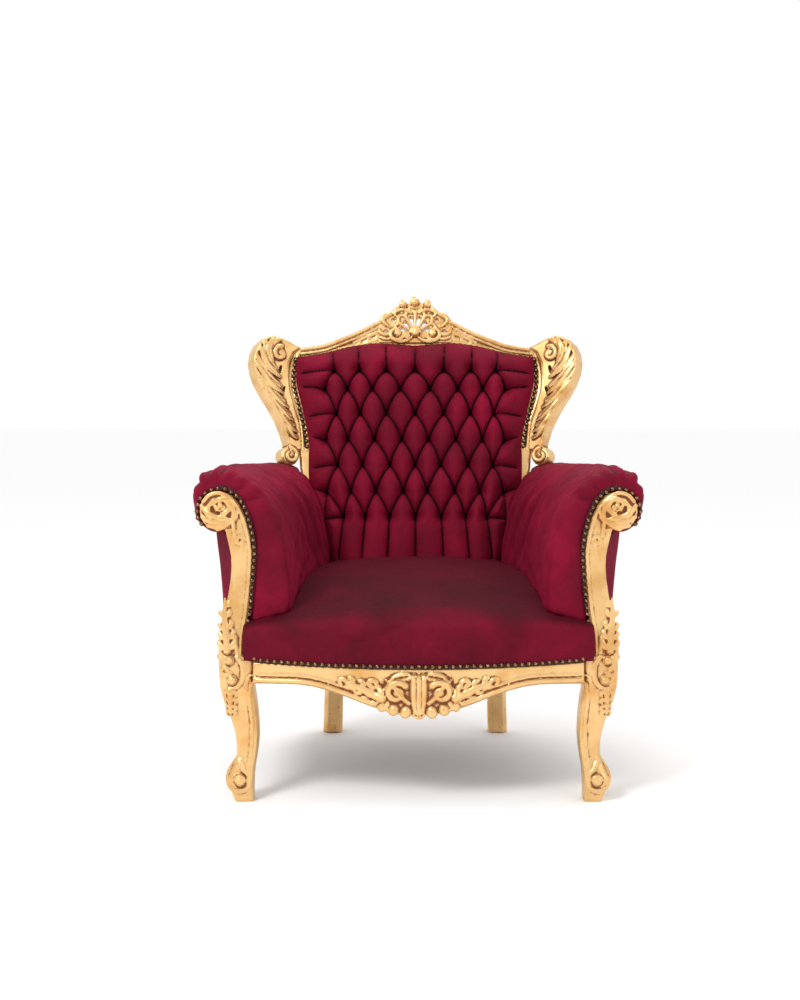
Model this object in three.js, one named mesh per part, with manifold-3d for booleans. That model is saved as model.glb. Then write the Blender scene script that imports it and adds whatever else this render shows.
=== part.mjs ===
// Carved and gilded armchair in the baroque style: a show-wood frame with cabriole front legs, scrolled arm
// posts, a serpentine front rail, eared back posts and a pierced shell cresting, upholstered in velvet over
// zigzag springs, webbing and padding.
//
// Millimetres, +Z up. The chair faces -Y and +X is the sitter's left. Each side is modelled at +X and mirrored
// to -X. The finished group is moved so that its origin lies at the
// middle of its footprint, on the floor.

import * as THREE from "three";
import { mergeVertices } from "three/addons/utils/BufferGeometryUtils.js";
import Module from "manifold-3d";

const wasm = await Module();
wasm.setup();

// ---------------------------------------------------------------------------------------------------------
// Driving dimensions
// ---------------------------------------------------------------------------------------------------------

const GAP = 0.4; // clearance between two pieces that touch
const SKIN = 3; // velvet cover with its wadding
const PAD_GAP = 1.2; // and the clearance between it and the pad inside
const RAKE = THREE.MathUtils.degToRad(12); // lean of the back
const WING_TURN = THREE.MathUtils.degToRad(28); // how far each ear is turned towards the sitter

const frontFace = -400; // front plane of the feet
const kneeOuter = 418; // half width over the knees of the front legs
const legTop = 305; // top of the front leg's block, where the arm post stands
const railThickness = 34; // seat rails
const railTop = 314; // top of the seat rails
const nailLineSide = 300; // lower edge of the seat cover at the front legs
const nailLineCentre = 284; // and in the middle of the front rail
const apronLowest = 186; // lowest point of the front rail
const apronHighest = 250; // and its highest underside, beside the legs
const apronHalfSpan = 262; // half length of the hanging part of the apron
const frontBow = 34; // how far the front rail bows forward
const rebate = 5; // depth of the step that the front cover is nailed into

const scrollX = 415; // arm scroll: centre and radius
const scrollZ = 609;
const scrollRadius = 40;
const armPostDepth = 44;

const backFoot = 247; // y of the rear foot's middle
const backPlane = 200; // y of the back frame's front face at backBase height
const backBase = 330; // height of the back frame's origin
const postTop = 976; // top of the back posts
const crestHalf = 296; // half length of the crest rail
const crestThickness = 42;
const cartoucheHalf = 94; // half width of the pierced cresting
const cartoucheThickness = 30;
const crestHeight = 794; // its top, measured along the back

const seatFrontEdge = 404; // height of the seat at its front edge
const seatCrown = 456; // and where it is fullest
const seatSideDrop = 20; // how much lower the seat is beside the arms
const armPadTop = 697; // top of the padded arm
const armInner = 264; // half the clear width between the arms at the front
const backBulge = 52; // how far the back pad stands in front of its frame

const webbingWidth = 50;
const webbingThickness = 3;
const springWire = 3.6;
const springCount = 5;
const springPitch = 76;
const nailBandWidth = 11; // gimp strip that the decorative nails are driven through
const nailBandThickness = 2;

// ---------------------------------------------------------------------------------------------------------
// Geometry helpers
// ---------------------------------------------------------------------------------------------------------

const v2 = (x, y) => new THREE.Vector2(x, y);
const v3 = (x, y, z) => new THREE.Vector3(x, y, z);
const mix = THREE.MathUtils.lerp;
const smooth = (t) => THREE.MathUtils.smoothstep(t, 0, 1);

// A closed geometry as a solid, turned to face outwards.
function solidOf(geometry) {
  const bare = new THREE.BufferGeometry();
  bare.setAttribute("position", geometry.getAttribute("position").clone());
  if (geometry.index) bare.setIndex(geometry.index.clone());
  const merged = mergeVertices(bare, 1e-3);
  const vertProperties = new Float32Array(merged.attributes.position.array);
  const triVerts = new Uint32Array(merged.index.array);
  const made = new wasm.Manifold(new wasm.Mesh({ numProp: 3, vertProperties, triVerts }));
  if (made.volume() >= 0) return made;
  for (let i = 0; i < triVerts.length; i += 3) {
    [triVerts[i + 1], triVerts[i + 2]] = [triVerts[i + 2], triVerts[i + 1]];
  }
  return new wasm.Manifold(new wasm.Mesh({ numProp: 3, vertProperties, triVerts }));
}

// A solid as a geometry that three.js can show.
function geometryOf(solid) {
  const mesh = solid.getMesh();
  const count = mesh.numProp;
  const positions = new Float32Array(mesh.numVert * 3);
  for (let i = 0; i < mesh.numVert; i++) {
    positions.set(mesh.vertProperties.subarray(i * count, i * count + 3), i * 3);
  }
  const geometry = new THREE.BufferGeometry();
  geometry.setAttribute("position", new THREE.BufferAttribute(positions, 3));
  geometry.setIndex(new THREE.BufferAttribute(new Uint32Array(mesh.triVerts), 1));
  geometry.computeVertexNormals();
  return geometry;
}

const mirrored = (solid) => solid.mirror([1, 0, 0]);
const moved = (solid, x, y, z) => solid.translate([x, y, z]);

// A solid and its copies moved by the clearance in six directions: what a neighbour is cut with.
function grown(solid, gap = GAP) {
  const steps = [
    [gap, 0, 0],
    [-gap, 0, 0],
    [0, gap, 0],
    [0, -gap, 0],
    [0, 0, gap],
    [0, 0, -gap],
  ];
  return steps.map((step) => solid.translate(step)).reduce((a, b) => a.add(b));
}

// The largest of a solid's separate bodies: trimming a piece to its neighbour can leave crumbs.
function largest(solid) {
  const bodies = solid.decompose();
  return bodies.reduce((a, b) => (b.volume() > a.volume() ? b : a));
}

// A box from its lowest to its highest corner.
function box(low, high) {
  const size = high.map((h, i) => h - low[i]);
  const middle = high.map((h, i) => (h + low[i]) / 2);
  return moved(solidOf(new THREE.BoxGeometry(...size)), ...middle);
}

// A closed surface through rings of points, each ring closed and of one length, with flat ends.
function loftGeometry(rings) {
  const n = rings[0].length;
  const positions = rings.flat().flatMap((p) => [p.x, p.y, p.z]);
  const index = [];
  for (let r = 0; r + 1 < rings.length; r++) {
    for (let i = 0; i < n; i++) {
      const [a, b] = [r * n + i, r * n + ((i + 1) % n)];
      const [c, d] = [b + n, a + n];
      const next = (i + 1) % n;
      const oneWay = rings[r][i].distanceTo(rings[r + 1][next]);
      const otherWay = rings[r][next].distanceTo(rings[r + 1][i]);
      if (oneWay < otherWay - 1e-4) index.push(a, b, c, a, c, d);
      else index.push(a, b, d, b, c, d);
    }
  }
  for (const [ring, start, flip] of [
    [rings[0], 0, true],
    [rings[rings.length - 1], (rings.length - 1) * n, false],
  ]) {
    for (const [a, b, c] of THREE.ShapeUtils.triangulateShape(flattened(ring), [])) {
      index.push(start + a, start + (flip ? c : b), start + (flip ? b : c));
    }
  }
  const geometry = new THREE.BufferGeometry();
  geometry.setAttribute("position", new THREE.Float32BufferAttribute(positions, 3));
  geometry.setIndex(index);
  return geometry;
}
const loft = (rings) => solidOf(loftGeometry(rings));

// The same loft with every face moved in by one distance, edges mitred: a lining that fits inside the first.
function shrunk(rings, distance) {
  const geometry = loftGeometry(rings);
  const index = geometry.index.array;
  const position = geometry.getAttribute("position");
  const at = (i) => new THREE.Vector3().fromBufferAttribute(position, i);
  const corners = Array.from({ length: position.count }, () => []);
  for (let i = 0; i < index.length; i += 3) {
    const [a, b, c] = [index[i], index[i + 1], index[i + 2]];
    const normal = new THREE.Triangle(at(a), at(b), at(c)).getNormal(new THREE.Vector3());
    for (const [p, q, r] of [
      [a, b, c],
      [b, c, a],
      [c, a, b],
    ]) {
      const weight = at(q).sub(at(p)).angleTo(at(r).sub(at(p)));
      if (normal.lengthSq() > 0 && Number.isFinite(weight)) corners[p].push([normal, weight]);
    }
  }
  const inward = signedVolume(index, at) >= 0 ? -1 : 1;
  corners.forEach((faces, i) => {
    const normal = v3(0, 0, 0);
    faces.forEach(([n, weight]) => normal.addScaledVector(n, weight));
    normal.normalize();
    const total = faces.reduce((sum, [, weight]) => sum + weight, 0);
    const lean = faces.reduce((sum, [n, weight]) => sum + n.dot(normal) * weight, 0) / total;
    const p = at(i).addScaledVector(normal, (inward * distance) / Math.max(0.4, lean));
    position.setXYZ(i, p.x, p.y, p.z);
  });
  return solidOf(geometry);
}
function signedVolume(index, at) {
  let volume = 0;
  for (let i = 0; i < index.length; i += 3) {
    volume += at(index[i]).dot(at(index[i + 1]).cross(at(index[i + 2]))) / 6;
  }
  return volume;
}

// A ring's points in its own plane, for filling its end. The plane's axes keep the ring's turning direction.
function flattened(ring) {
  const normal = v3(0, 0, 0);
  ring.forEach((p, i) => normal.add(p.clone().cross(ring[(i + 1) % ring.length])));
  normal.normalize();
  const across = Math.abs(normal.z) < 0.9 ? v3(0, 0, 1) : v3(1, 0, 0);
  const u = across.clone().cross(normal).normalize();
  const v = normal.clone().cross(u);
  return ring.map((p) => v2(p.dot(u), p.dot(v)));
}

// An outline in the X-Z plane, extruded along Y between two depths, with an optional rounded edge.
function elevation(shape, front, back, bevel = 0, curveSegments = 10) {
  const depth = back - front - 2 * bevel;
  const geometry = new THREE.ExtrudeGeometry(shape, {
    depth,
    curveSegments,
    bevelEnabled: bevel > 0,
    bevelThickness: bevel,
    bevelSize: bevel,
    bevelOffset: -bevel,
    bevelSegments: 1,
  });
  geometry.rotateX(Math.PI / 2);
  geometry.translate(0, back - bevel, 0);
  return solidOf(geometry);
}

// An outline in the X-Y plane, extruded up between two heights.
function plan(shape, low, high, curveSegments = 10) {
  const geometry = new THREE.ExtrudeGeometry(shape, { depth: high - low, bevelEnabled: false, curveSegments });
  geometry.translate(0, 0, low);
  return solidOf(geometry);
}

// The points of a smooth line through a few chosen ones.
function through(points, count) {
  return new THREE.SplineCurve(points.map(([x, y]) => v2(x, y))).getPoints(count);
}

// Stations are rows of numbers, first the place along the loft: this gives the row at any place between.
function between(stations, place) {
  const last = stations.length - 1;
  const at = THREE.MathUtils.clamp(place, stations[0][0], stations[last][0]);
  let i = stations.findIndex((s) => s[0] > at) - 1;
  if (i === -2) i = last - 1;
  i = THREE.MathUtils.clamp(i, 0, last - 1);
  const [before, from, to, after] = [i - 1, i, i + 1, i + 2].map(
    (k) => stations[THREE.MathUtils.clamp(k, 0, last)],
  );
  const t = (at - from[0]) / (to[0] - from[0]);
  return from.map((value, c) => {
    const slopeIn = (to[c] - before[c]) / (to[0] - before[0] || 1);
    const slopeOut = (after[c] - value) / (after[0] - from[0] || 1);
    const span = to[0] - from[0];
    const t2 = t * t;
    const t3 = t2 * t;
    return (
      (2 * t3 - 3 * t2 + 1) * value +
      (t3 - 2 * t2 + t) * slopeIn * span +
      (-2 * t3 + 3 * t2) * to[c] +
      (t3 - t2) * slopeOut * span
    );
  });
}

// A square section with rounded corners at height z, between the given sides.
function roundedSection(left, right, front, back, radius, z, perCorner = 3) {
  const points = [];
  const r = Math.min(radius, (right - left) / 2.01, (back - front) / 2.01);
  const corners = [
    [right - r, front + r, -90],
    [right - r, back - r, 0],
    [left + r, back - r, 90],
    [left + r, front + r, 180],
  ];
  for (const [x, y, start] of corners) {
    for (let k = 0; k < perCorner; k++) {
      const a = THREE.MathUtils.degToRad(start + (90 * k) / (perCorner - 1));
      points.push(v3(x + r * Math.cos(a), y + r * Math.sin(a), z));
    }
  }
  return points;
}

// A turned or carved post through stations [z, left, right, front, back, corner radius], or its clearance.
function post(stations, rings, perCorner = 3, gap = 0) {
  const low = stations[0][0];
  const high = stations[stations.length - 1][0];
  return loft(
    Array.from({ length: rings + 1 }, (_, i) => {
      const [z, left, right, front, back, radius] = between(stations, mix(low, high, i / rings));
      const edge = i === 0 ? -gap : i === rings ? gap : 0;
      return roundedSection(left - gap, right + gap, front - gap, back + gap, radius, z + edge, perCorner);
    }),
  );
}

// A raised spiral fillet in the X-Z plane, winding in from the rim of a scroll. It stands from y back to front.
function spiralFillet(x, z, outer, inner, turns, width, front, back, startAngle, direction) {
  const steps = Math.round(turns * 10);
  const at = (t, offset) => {
    const angle = startAngle + direction * t * turns * 2 * Math.PI;
    const radius = mix(outer, inner, t) + offset;
    return v2(x + radius * Math.cos(angle), z + radius * Math.sin(angle));
  };
  const rim = Array.from({ length: steps + 1 }, (_, i) => at(i / steps, 0));
  const inside = Array.from({ length: steps + 1 }, (_, i) => at(i / steps, -width * mix(1, 0.6, i / steps)));
  return elevation(new THREE.Shape([...rim, ...inside.reverse()]), front, back);
}

// A strip of one thickness along a line of points, standing out along the given normals.
function strip(points, normals, width, thickness, across) {
  return loft(
    points.map((p, i) => {
      const side = across[i].clone().multiplyScalar(width / 2);
      const out = normals[i].clone().multiplyScalar(thickness);
      return [p.clone().sub(side), p.clone().add(side), p.clone().add(side).add(out), p.clone().sub(side).add(out)];
    }),
  );
}

// ---------------------------------------------------------------------------------------------------------
// Materials
// ---------------------------------------------------------------------------------------------------------

const finish = (color, roughness, metalness) => new THREE.MeshStandardMaterial({ color, roughness, metalness });

const giltWood = finish("#dcb268", 0.35, 0.85);
const beech = finish("#c9a06c", 0.65, 0);
const velvet = finish("#960a32", 0.85, 0);
const foam = finish("#e9dfae", 0.95, 0);
const springSteel = finish("#77797c", 0.4, 0.9);
const jute = finish("#a98a55", 0.95, 0);
const cambric = finish("#23201e", 0.95, 0);
const bronze = finish("#6a4a32", 0.45, 0.7);

function piece(parent, name, solid, material) {
  const mesh = new THREE.Mesh(geometryOf(solid), material);
  mesh.name = name;
  parent.add(mesh);
  return mesh;
}

// Adds a piece modelled at +X and its mirror image.
function pair(parent, name, solid, material) {
  piece(parent, name + "_left", solid, material);
  piece(parent, name + "_right", mirrored(solid), material);
}

// ---------------------------------------------------------------------------------------------------------
// Seat frame
// ---------------------------------------------------------------------------------------------------------

// Plan line of the front rail's face and height of its edges, for any x.
const railFaceY = (x) => frontFace + 10 - frontBow * (1 - (x / kneeOuter) ** 2);
const nailLineZ = (x) => mix(nailLineCentre, nailLineSide, (x / kneeOuter) ** 2);
const apronZ = (x) => {
  const t = Math.min(1, Math.abs(x) / apronHalfSpan);
  return mix(apronLowest, apronHighest, 0.5 - 0.5 * Math.cos(Math.PI * t));
};
const range = (from, to, count) => Array.from({ length: count + 1 }, (_, i) => mix(from, to, i / count));

// Cabriole leg: knee turned out, slim ankle, scrolled toe on a small square pad.
const legInnerTop = 345;
const legStations = [
  // z, inner, outer, front, back, corner radius
  [0, 346, 384, frontFace + 3, frontFace + 43, 5],
  [10, 346, 388, frontFace + 2, frontFace + 43, 6],
  [26, 346, 395, frontFace - 1, frontFace + 44, 10],
  [45, 345, 402, frontFace - 3, frontFace + 44, 13],
  [62, 344, 396, frontFace, frontFace + 44, 13],
  [78, 342, 387, frontFace + 6, frontFace + 46, 12],
  [95, 339, 382, frontFace + 10, frontFace + 50, 12],
  [120, 336, 383, frontFace + 12, frontFace + 55, 12],
  [150, 335, 388, frontFace + 12, frontFace + 60, 13],
  [180, 337, 398, frontFace + 10, frontFace + 64, 14],
  [215, 341, 411, frontFace + 6, frontFace + 68, 15],
  [238, legInnerTop, kneeOuter - 2, frontFace + 4, frontFace + 71, 15],
  [280, legInnerTop, kneeOuter + 1, frontFace + 5, frontFace + 74, 14],
  [legTop, legInnerTop, kneeOuter, frontFace + 7, frontFace + 75, 13],
];
const legRings = 13;
const legBlank = post(legStations, legRings);
const legClear = post(legStations, legRings, 3, GAP);
const toeScroll = spiralFillet(372, 46, 15, 5, 1.25, 6, frontFace - 9, frontFace + 20, 0, 1);

// Arm post: one board sawn to the S of the arm, its top ending in a scroll, then swept in side view.
const seatCornerX = 366; // the seat cover reaches out to here, beside the foot of the arm post
const postInnerLine = [
  [seatCornerX, legTop + GAP],
  [seatCornerX, 325],
  [363, 350],
  [357, 386],
  [349, 462],
  [346, 528],
  [354, 573],
  [367, 612],
  [385, 638],
  [400, scrollZ + scrollRadius - 2],
];
const postOuterLine = [
  [403, scrollZ - scrollRadius + 4],
  [398, 548],
  [392, 520],
  [391, 490],
  [395, 450],
  [404, 405],
  [kneeOuter - 4, 362],
  [kneeOuter, 332],
  [kneeOuter, legTop + GAP],
];
// Side view of the post: its waist lies behind the knee and the scroll.
const armPostFront = frontFace - 4;
const postSweep = (z) => 12 + 14 * Math.sin((Math.PI * (z - legTop)) / (scrollZ - legTop + 60));
const scrollFront = armPostFront + postSweep(scrollZ);
function armPostSolid(gap = 0, ahead = 0) {
  const steps = 11;
  const inner = through(postInnerLine, steps);
  const outer = through([...postOuterLine].reverse(), steps);
  const chamfer = 4;
  const board = loft(
    inner.map((p, i) => {
      const q = outer[i];
      const along = q.clone().sub(p).normalize();
      const y = armPostFront + postSweep((p.y + q.y) / 2) - gap - ahead;
      const depth = armPostDepth + 2 * gap + ahead;
      const lift = i === 0 ? -gap : 0;
      const at = (end, inset, depthAt) =>
        v3(end.x + along.x * inset, y + depthAt, end.y + along.y * inset + lift);
      return [
        at(p, chamfer - gap, 0),
        at(q, gap - chamfer, 0),
        at(q, gap, chamfer),
        at(q, gap, depth),
        at(p, -gap, depth),
        at(p, -gap, chamfer),
      ];
    }),
  );
  const drum = new THREE.CylinderGeometry(scrollRadius + gap, scrollRadius + gap, 1, 20);
  drum.scale(1, armPostDepth + 2 * gap + ahead, 1);
  return board.add(
    moved(solidOf(drum), scrollX, scrollFront + (armPostDepth - ahead) / 2, scrollZ),
  );
}
const armPostScroll = spiralFillet(
  scrollX, scrollZ, 33, 8, 1.4, 9, scrollFront - 5, scrollFront + 8, Math.PI * 0.75, -1,
);
const armPostTenon = [
  [376, frontFace + 24, 275],
  [400, frontFace + 40, legTop + 25],
];
const armPost = armPostSolid().add(armPostScroll).add(box(...armPostTenon));
const armPostClear = armPostSolid(GAP, 40);

// Front rail: the elevation of the apron cut from a bowed plank, with a raised shield in its middle.
const railHalf = legInnerTop - GAP;
const railXs = range(-railHalf, railHalf, 22);
const apronOutline = new THREE.Shape([
  ...railXs.map((x) => v2(x, apronZ(x))),
  ...[...railXs].reverse().map((x) => v2(x, railTop)),
]);
const wideXs = range(-seatCornerX, seatCornerX, 20);
const band = (front, back, xs = railXs) =>
  new THREE.Shape([
    ...xs.map((x) => v2(x, railFaceY(x) + front)),
    ...[...xs].reverse().map((x) => v2(x, railFaceY(x) + back)),
  ]);
const apron = elevation(apronOutline, frontFace - 60, frontFace + 80).intersect(
  plan(band(0, railThickness), 100, 400),
);
const rebateOutline = new THREE.Shape([
  ...railXs.map((x) => v2(x * 1.01, nailLineZ(x))),
  v2(railHalf * 1.01, railTop + 20),
  v2(-railHalf * 1.01, railTop + 20),
]);
const rebateCut = elevation(rebateOutline, frontFace - 80, frontFace + 90).intersect(
  plan(band(-20, rebate), 100, 400),
);
// The bead that runs along the underside, and the shield with its scalloped lower edge.
const beadOutline = new THREE.Shape([
  ...railXs.map((x) => v2(x, apronZ(x) + 3)),
  ...[...railXs].reverse().map((x) => v2(x, apronZ(x) + 13)),
]);
const bead = elevation(beadOutline, frontFace - 80, frontFace + 60).intersect(plan(band(-3.5, 8), 100, 400));
const lobes = [-52, -27, 0, 27, 52];
const shieldOutline = new THREE.Shape([
  ...lobes.flatMap((x) => {
    const low = apronZ(x) - (x === 0 ? 5 : 2);
    return range(200, 340, 4).map((a) => {
      const angle = THREE.MathUtils.degToRad(a);
      return v2(x + 15 * Math.cos(angle), low + 12 + 12 * Math.sin(angle));
    });
  }),
  v2(88, apronZ(88) + 24),
  v2(60, 262),
  v2(24, 268),
  v2(0, 274),
  v2(-24, 268),
  v2(-60, 262),
  v2(-88, apronZ(88) + 24),
]);
const shield = elevation(shieldOutline, frontFace - 80, frontFace + 60).intersect(plan(band(-9, 12), 100, 400));

// Tenons: each is a box on one rail's end, and the post it enters has the same box cut a little larger.
const grownBox = (low, high) =>
  box(
    low.map((a) => a - GAP),
    high.map((a) => a + GAP),
  );
const frontTenon = [
  [legInnerTop - 20, frontFace + 26, 262],
  [legInnerTop + 24, frontFace + 42, 300],
];
const frontRail = apron
  .add(shield)
  .add(bead)
  .subtract(rebateCut)
  .add(box(...frontTenon))
  .add(mirrored(box(...frontTenon)));

// Side rail: sawn to a bulging plan, from the front leg to the back post.
const sideFace = [
  [411, frontFace + 75],
  [422, frontFace + 130],
  [427, -200],
  [424, -120],
  [407, -30],
  [370, 60],
  [318, 138],
  [266, 193],
  [228, 222],
];
const sideLine = through(sideFace, 11);
const sideNormals = sideLine.map((p, i) => {
  const before = sideLine[Math.max(0, i - 1)];
  const after = sideLine[Math.min(sideLine.length - 1, i + 1)];
  return v2(after.y - before.y, before.x - after.x).normalize();
});
// The plan between two distances inside the side's face.
const sideBand = (outer, inner) =>
  new THREE.Shape([
    ...sideLine.map((p, i) => p.clone().addScaledVector(sideNormals[i], -outer)),
    ...sideLine.map((p, i) => p.clone().addScaledVector(sideNormals[i], -inner)).reverse(),
  ]);
const sideApronLine = [
  [frontFace + 60, 244],
  [frontFace + 150, 252],
  [-150, 238],
  [-60, 228],
  [30, 238],
  [120, 250],
  [240, 246],
];
// The rail's elevation seen from the side: an outline in Y-Z, extruded along X.
const sideElevation = (points) => {
  const geometry = new THREE.ExtrudeGeometry(new THREE.Shape(points), { depth: 400, bevelEnabled: false });
  geometry.rotateX(Math.PI / 2);
  geometry.rotateZ(Math.PI / 2);
  geometry.translate(100, 0, 0);
  return solidOf(geometry);
};

// Back post: rear leg and back stile in one, waisted at the seat and leaning back above it.
const planeY = (z) => backPlane + Math.tan(RAKE) * (z - backBase);
const stile = (z, inner, outer) => [z, inner, outer, planeY(z), planeY(z) + crestThickness, 6];
const backPostStations = [
  [0, 186, 234, backFoot - 24, backFoot + 24, 10],
  [60, 184, 232, backFoot - 27, backFoot + 21, 10],
  [150, 182, 229, backFoot - 34, backFoot + 16, 9],
  [250, 180, 226, backFoot - 44, backFoot + 10, 8],
  [backBase, 184, 230, backPlane, backPlane + 50, 8],
  [450, 202, 244, planeY(450), planeY(450) + 46, 7],
  [560, 228, 268, planeY(560), planeY(560) + 44, 6],
  stile(640, 250, 288),
  stile(705, 260, 298),
  stile(745, 258, 297),
  stile(785, 266, 304),
  stile(822, 279, 318),
  stile(864, 291, 331),
  stile(900, 293, 334),
  stile(930, 290, 334),
  stile(958, 286, 327),
  stile(postTop, 284, 319),
];
const backPostBlank = post(backPostStations, 19, 2);
const backPostClear = post(backPostStations, 19, 2, GAP);

// The side rail is cut to the leg and post it meets, with a tenon into each.
const sideFrontTenon = [
  [382, frontFace + 50, 262],
  [398, frontFace + 90, 300],
];
const sideBackTenon = [
  [213, 188, 265],
  [227, 222, 297],
];
const sideRail = largest(
  plan(sideBand(0, railThickness), 200, railTop)
    .intersect(sideElevation([...through(sideApronLine, 12), v2(260, railTop + 10), v2(frontFace + 40, railTop + 10)]))
    .subtract(legClear)
    .subtract(armPostClear)
    .subtract(backPostClear),
)
  .add(box(...sideFrontTenon))
  .add(box(...sideBackTenon));
const backRailTenon = [
  [165, 222, 262],
  [200, 236, 300],
];
const backRail = box([-178, 212, 250], [178, 212 + 26, railTop])
  .add(box(...backRailTenon))
  .add(mirrored(box(...backRailTenon)));

// ---------------------------------------------------------------------------------------------------------
// Back frame, modelled upright in its own group and then leaned back
// ---------------------------------------------------------------------------------------------------------

const chair = new THREE.Group();
const back = new THREE.Group();
back.position.set(0, backPlane, backBase);
back.rotation.x = -RAKE;
chair.add(back);
chair.updateMatrixWorld(true);

const up = (z) => (z - backBase) / Math.cos(RAKE); // height above the floor to distance along the back
const intoBack = (solid) => solid.transform(back.matrixWorld.clone().invert().elements);
const outOfBack = (solid) => solid.transform(back.matrixWorld.elements);
const grownPost = intoBack(backPostClear);

// Crest rail: its top edge sweeps up to the cresting, its lower edge lies behind the top of the back cover.
const crestTopLine = [
  [0, 742],
  [60, 740],
  [92, 733],
  [135, 711],
  [180, 691],
  [234, 671],
  [crestHalf, 661],
];
const velvetTopLine = [
  [0, 658],
  [93, 665],
  [135, 661],
  [184, 652],
  [234, 638],
  [crestHalf + 8, 627],
];
const cartoucheFoot = 675; // the cresting stands in a notch of the rail from here up
const coverLap = 13; // how far the back cover laps onto the frame
const velvetTop = (x) => between(velvetTopLine, Math.abs(x))[1];
const crestXs = range(-crestHalf, crestHalf, 22);
const crestTop = crestXs.map((x) => v2(x, between(crestTopLine, Math.abs(x))[1]));
const crestLow = crestXs.map((x) => v2(x, velvetTop(x) - coverLap));
const rim = (drop) => crestTop.map((p) => v2(p.x, p.y - drop));
const crestBead = (drop, width, proud) =>
  elevation(new THREE.Shape([...rim(drop), ...rim(drop + width).reverse()]), -proud, 10);
const crestRail = largest(
  elevation(new THREE.Shape([...crestTop, ...[...crestLow].reverse()]), 0, crestThickness)
    .add(crestBead(0, 7, 6))
    .add(crestBead(12, 6, 4))
    .subtract(box([-cartoucheHalf, -20, cartoucheFoot], [cartoucheHalf, 80, 800]))
    .subtract(grownPost)
    .subtract(mirrored(grownPost)),
);

// Pierced cresting: a shell of seven ribs in a scalloped rim, held by two C-scrolls, with three buds on top.
const shellY = 700; // root of the ribs, along the back
const shellRibs = 7;
const shellReach = 50; // length of the opening beside the middle rib
function cartoucheOutline() {
  const half = [
    [0, crestHeight],
    [9, crestHeight - 2],
    [14, 782],
    [20, 780],
    [30, 786],
    [39, 779],
    [42, 766],
    [56, 757],
    [68, 744],
    [80, 737],
    [cartoucheHalf - GAP, 732],
  ];
  const right = [...through(half, 18), v2(cartoucheHalf - GAP, cartoucheFoot + GAP)];
  return new THREE.Shape([...right, ...right.slice(1).reverse().map((p) => v2(-p.x, p.y))]);
}
// A slot with pointed ends from one radius to another, at an angle round the shell's root.
function slot(angle, from, to, startWidth, endWidth) {
  const along = v2(Math.sin(angle), Math.cos(angle));
  const side = v2(along.y, -along.x);
  const at = (r, w) => v2(0, shellY).addScaledVector(along, r).addScaledVector(side, w);
  return new THREE.Path([
    at(from, 0),
    at(from + 4, startWidth),
    at(to - 5, endWidth),
    at(to, 0),
    at(to - 5, -endWidth),
    at(from + 4, -startWidth),
  ]);
}
function eye(x, y, wide, high, turn, corners = 6) {
  return new THREE.Path(
    range(0, 2 * Math.PI, corners)
      .slice(0, -1)
      .map((a) => {
        const [c, s] = [wide * Math.cos(a), high * Math.sin(a)];
        return v2(x + c * Math.cos(turn) - s * Math.sin(turn), y + c * Math.sin(turn) + s * Math.cos(turn));
      }),
  );
}
const cartoucheShape = cartoucheOutline();
for (let k = 0; k + 1 < shellRibs; k++) {
  const angle = THREE.MathUtils.degToRad(mix(-72, 72, k / (shellRibs - 2)));
  const reach = shellReach - 8 * Math.abs(Math.sin(angle));
  cartoucheShape.holes.push(slot(angle, 15, reach, 2, 6));
}
for (const side of [-1, 1]) {
  cartoucheShape.holes.push(
    eye(side * 24, 684, 10, 3.5, side * 0.3),
    eye(side * 76, 706, 8, 4, side * -0.25),
    eye(side * 56, 736, 6, 5, side * -0.5),
    eye(side * 15, 764, 4.5, 4, 0, 5),
  );
}
// Rolled leaf buds and C-scrolls stand proud of the pierced board.
const bud = (x, y, radius) => elevation(new THREE.Shape().absarc(x, y, radius, 0, 2 * Math.PI), -16, 12, 4, 3);
const cScroll = spiralFillet(48, 699, 21, 7, 1.1, 6, -13, 2, Math.PI * 1.25, 1);
const crestCartouche = largest(
  elevation(cartoucheShape, -6, -6 + cartoucheThickness)
    .add(bud(0, 781, 11))
    .add(bud(30, 774, 10))
    .add(bud(-30, 774, 10))
    .add(bud(0, shellY, 12))
    .add(cScroll)
    .add(mirrored(cScroll))
    .subtract(grown(crestRail)),
);

// Ear: a leaf-edged board glued along the outside of each back post and turned towards the sitter.
const wingHinge = 322; // x of the line about which the ear is turned
const wingGroup = (side) => {
  const group = new THREE.Group();
  group.position.set(side * wingHinge, 4, 0);
  group.rotation.z = -side * WING_TURN;
  back.add(group);
  group.updateMatrixWorld(true);
  return group;
};
const reach = (x) => (x - wingHinge) / Math.cos(WING_TURN); // x at the back to distance out along the ear
const onEar = ([x, z]) => [reach(x), up(z)];
const wingEdge = [
  [300, postTop + 4],
  [318, 985],
  [340, 996],
  [372, 1000],
  [398, 986],
  [412, 962],
  [418, 930],
  [411, 892],
  [394, 857],
  [370, 820],
  [348, 780],
  [335, 745],
  [330, 720],
];
const wingFoot = { x: 326, z: 700, radius: 25 };
const footArc = range(THREE.MathUtils.degToRad(75), THREE.MathUtils.degToRad(-215), 10).map((a) =>
  v2(reach(wingFoot.x) + wingFoot.radius * Math.cos(a), up(wingFoot.z) + wingFoot.radius * Math.sin(a)),
);
const wingInner = [
  [286, 714],
  [295, 745],
  [302, 785],
  [316, 822],
  [329, 864],
  [332, 900],
  [331, 935],
  [320, 962],
];
const wingOutline = new THREE.Shape([
  ...through(wingEdge.map(onEar), 16),
  ...footArc,
  ...through(wingInner.map(onEar), 7),
]);
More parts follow.
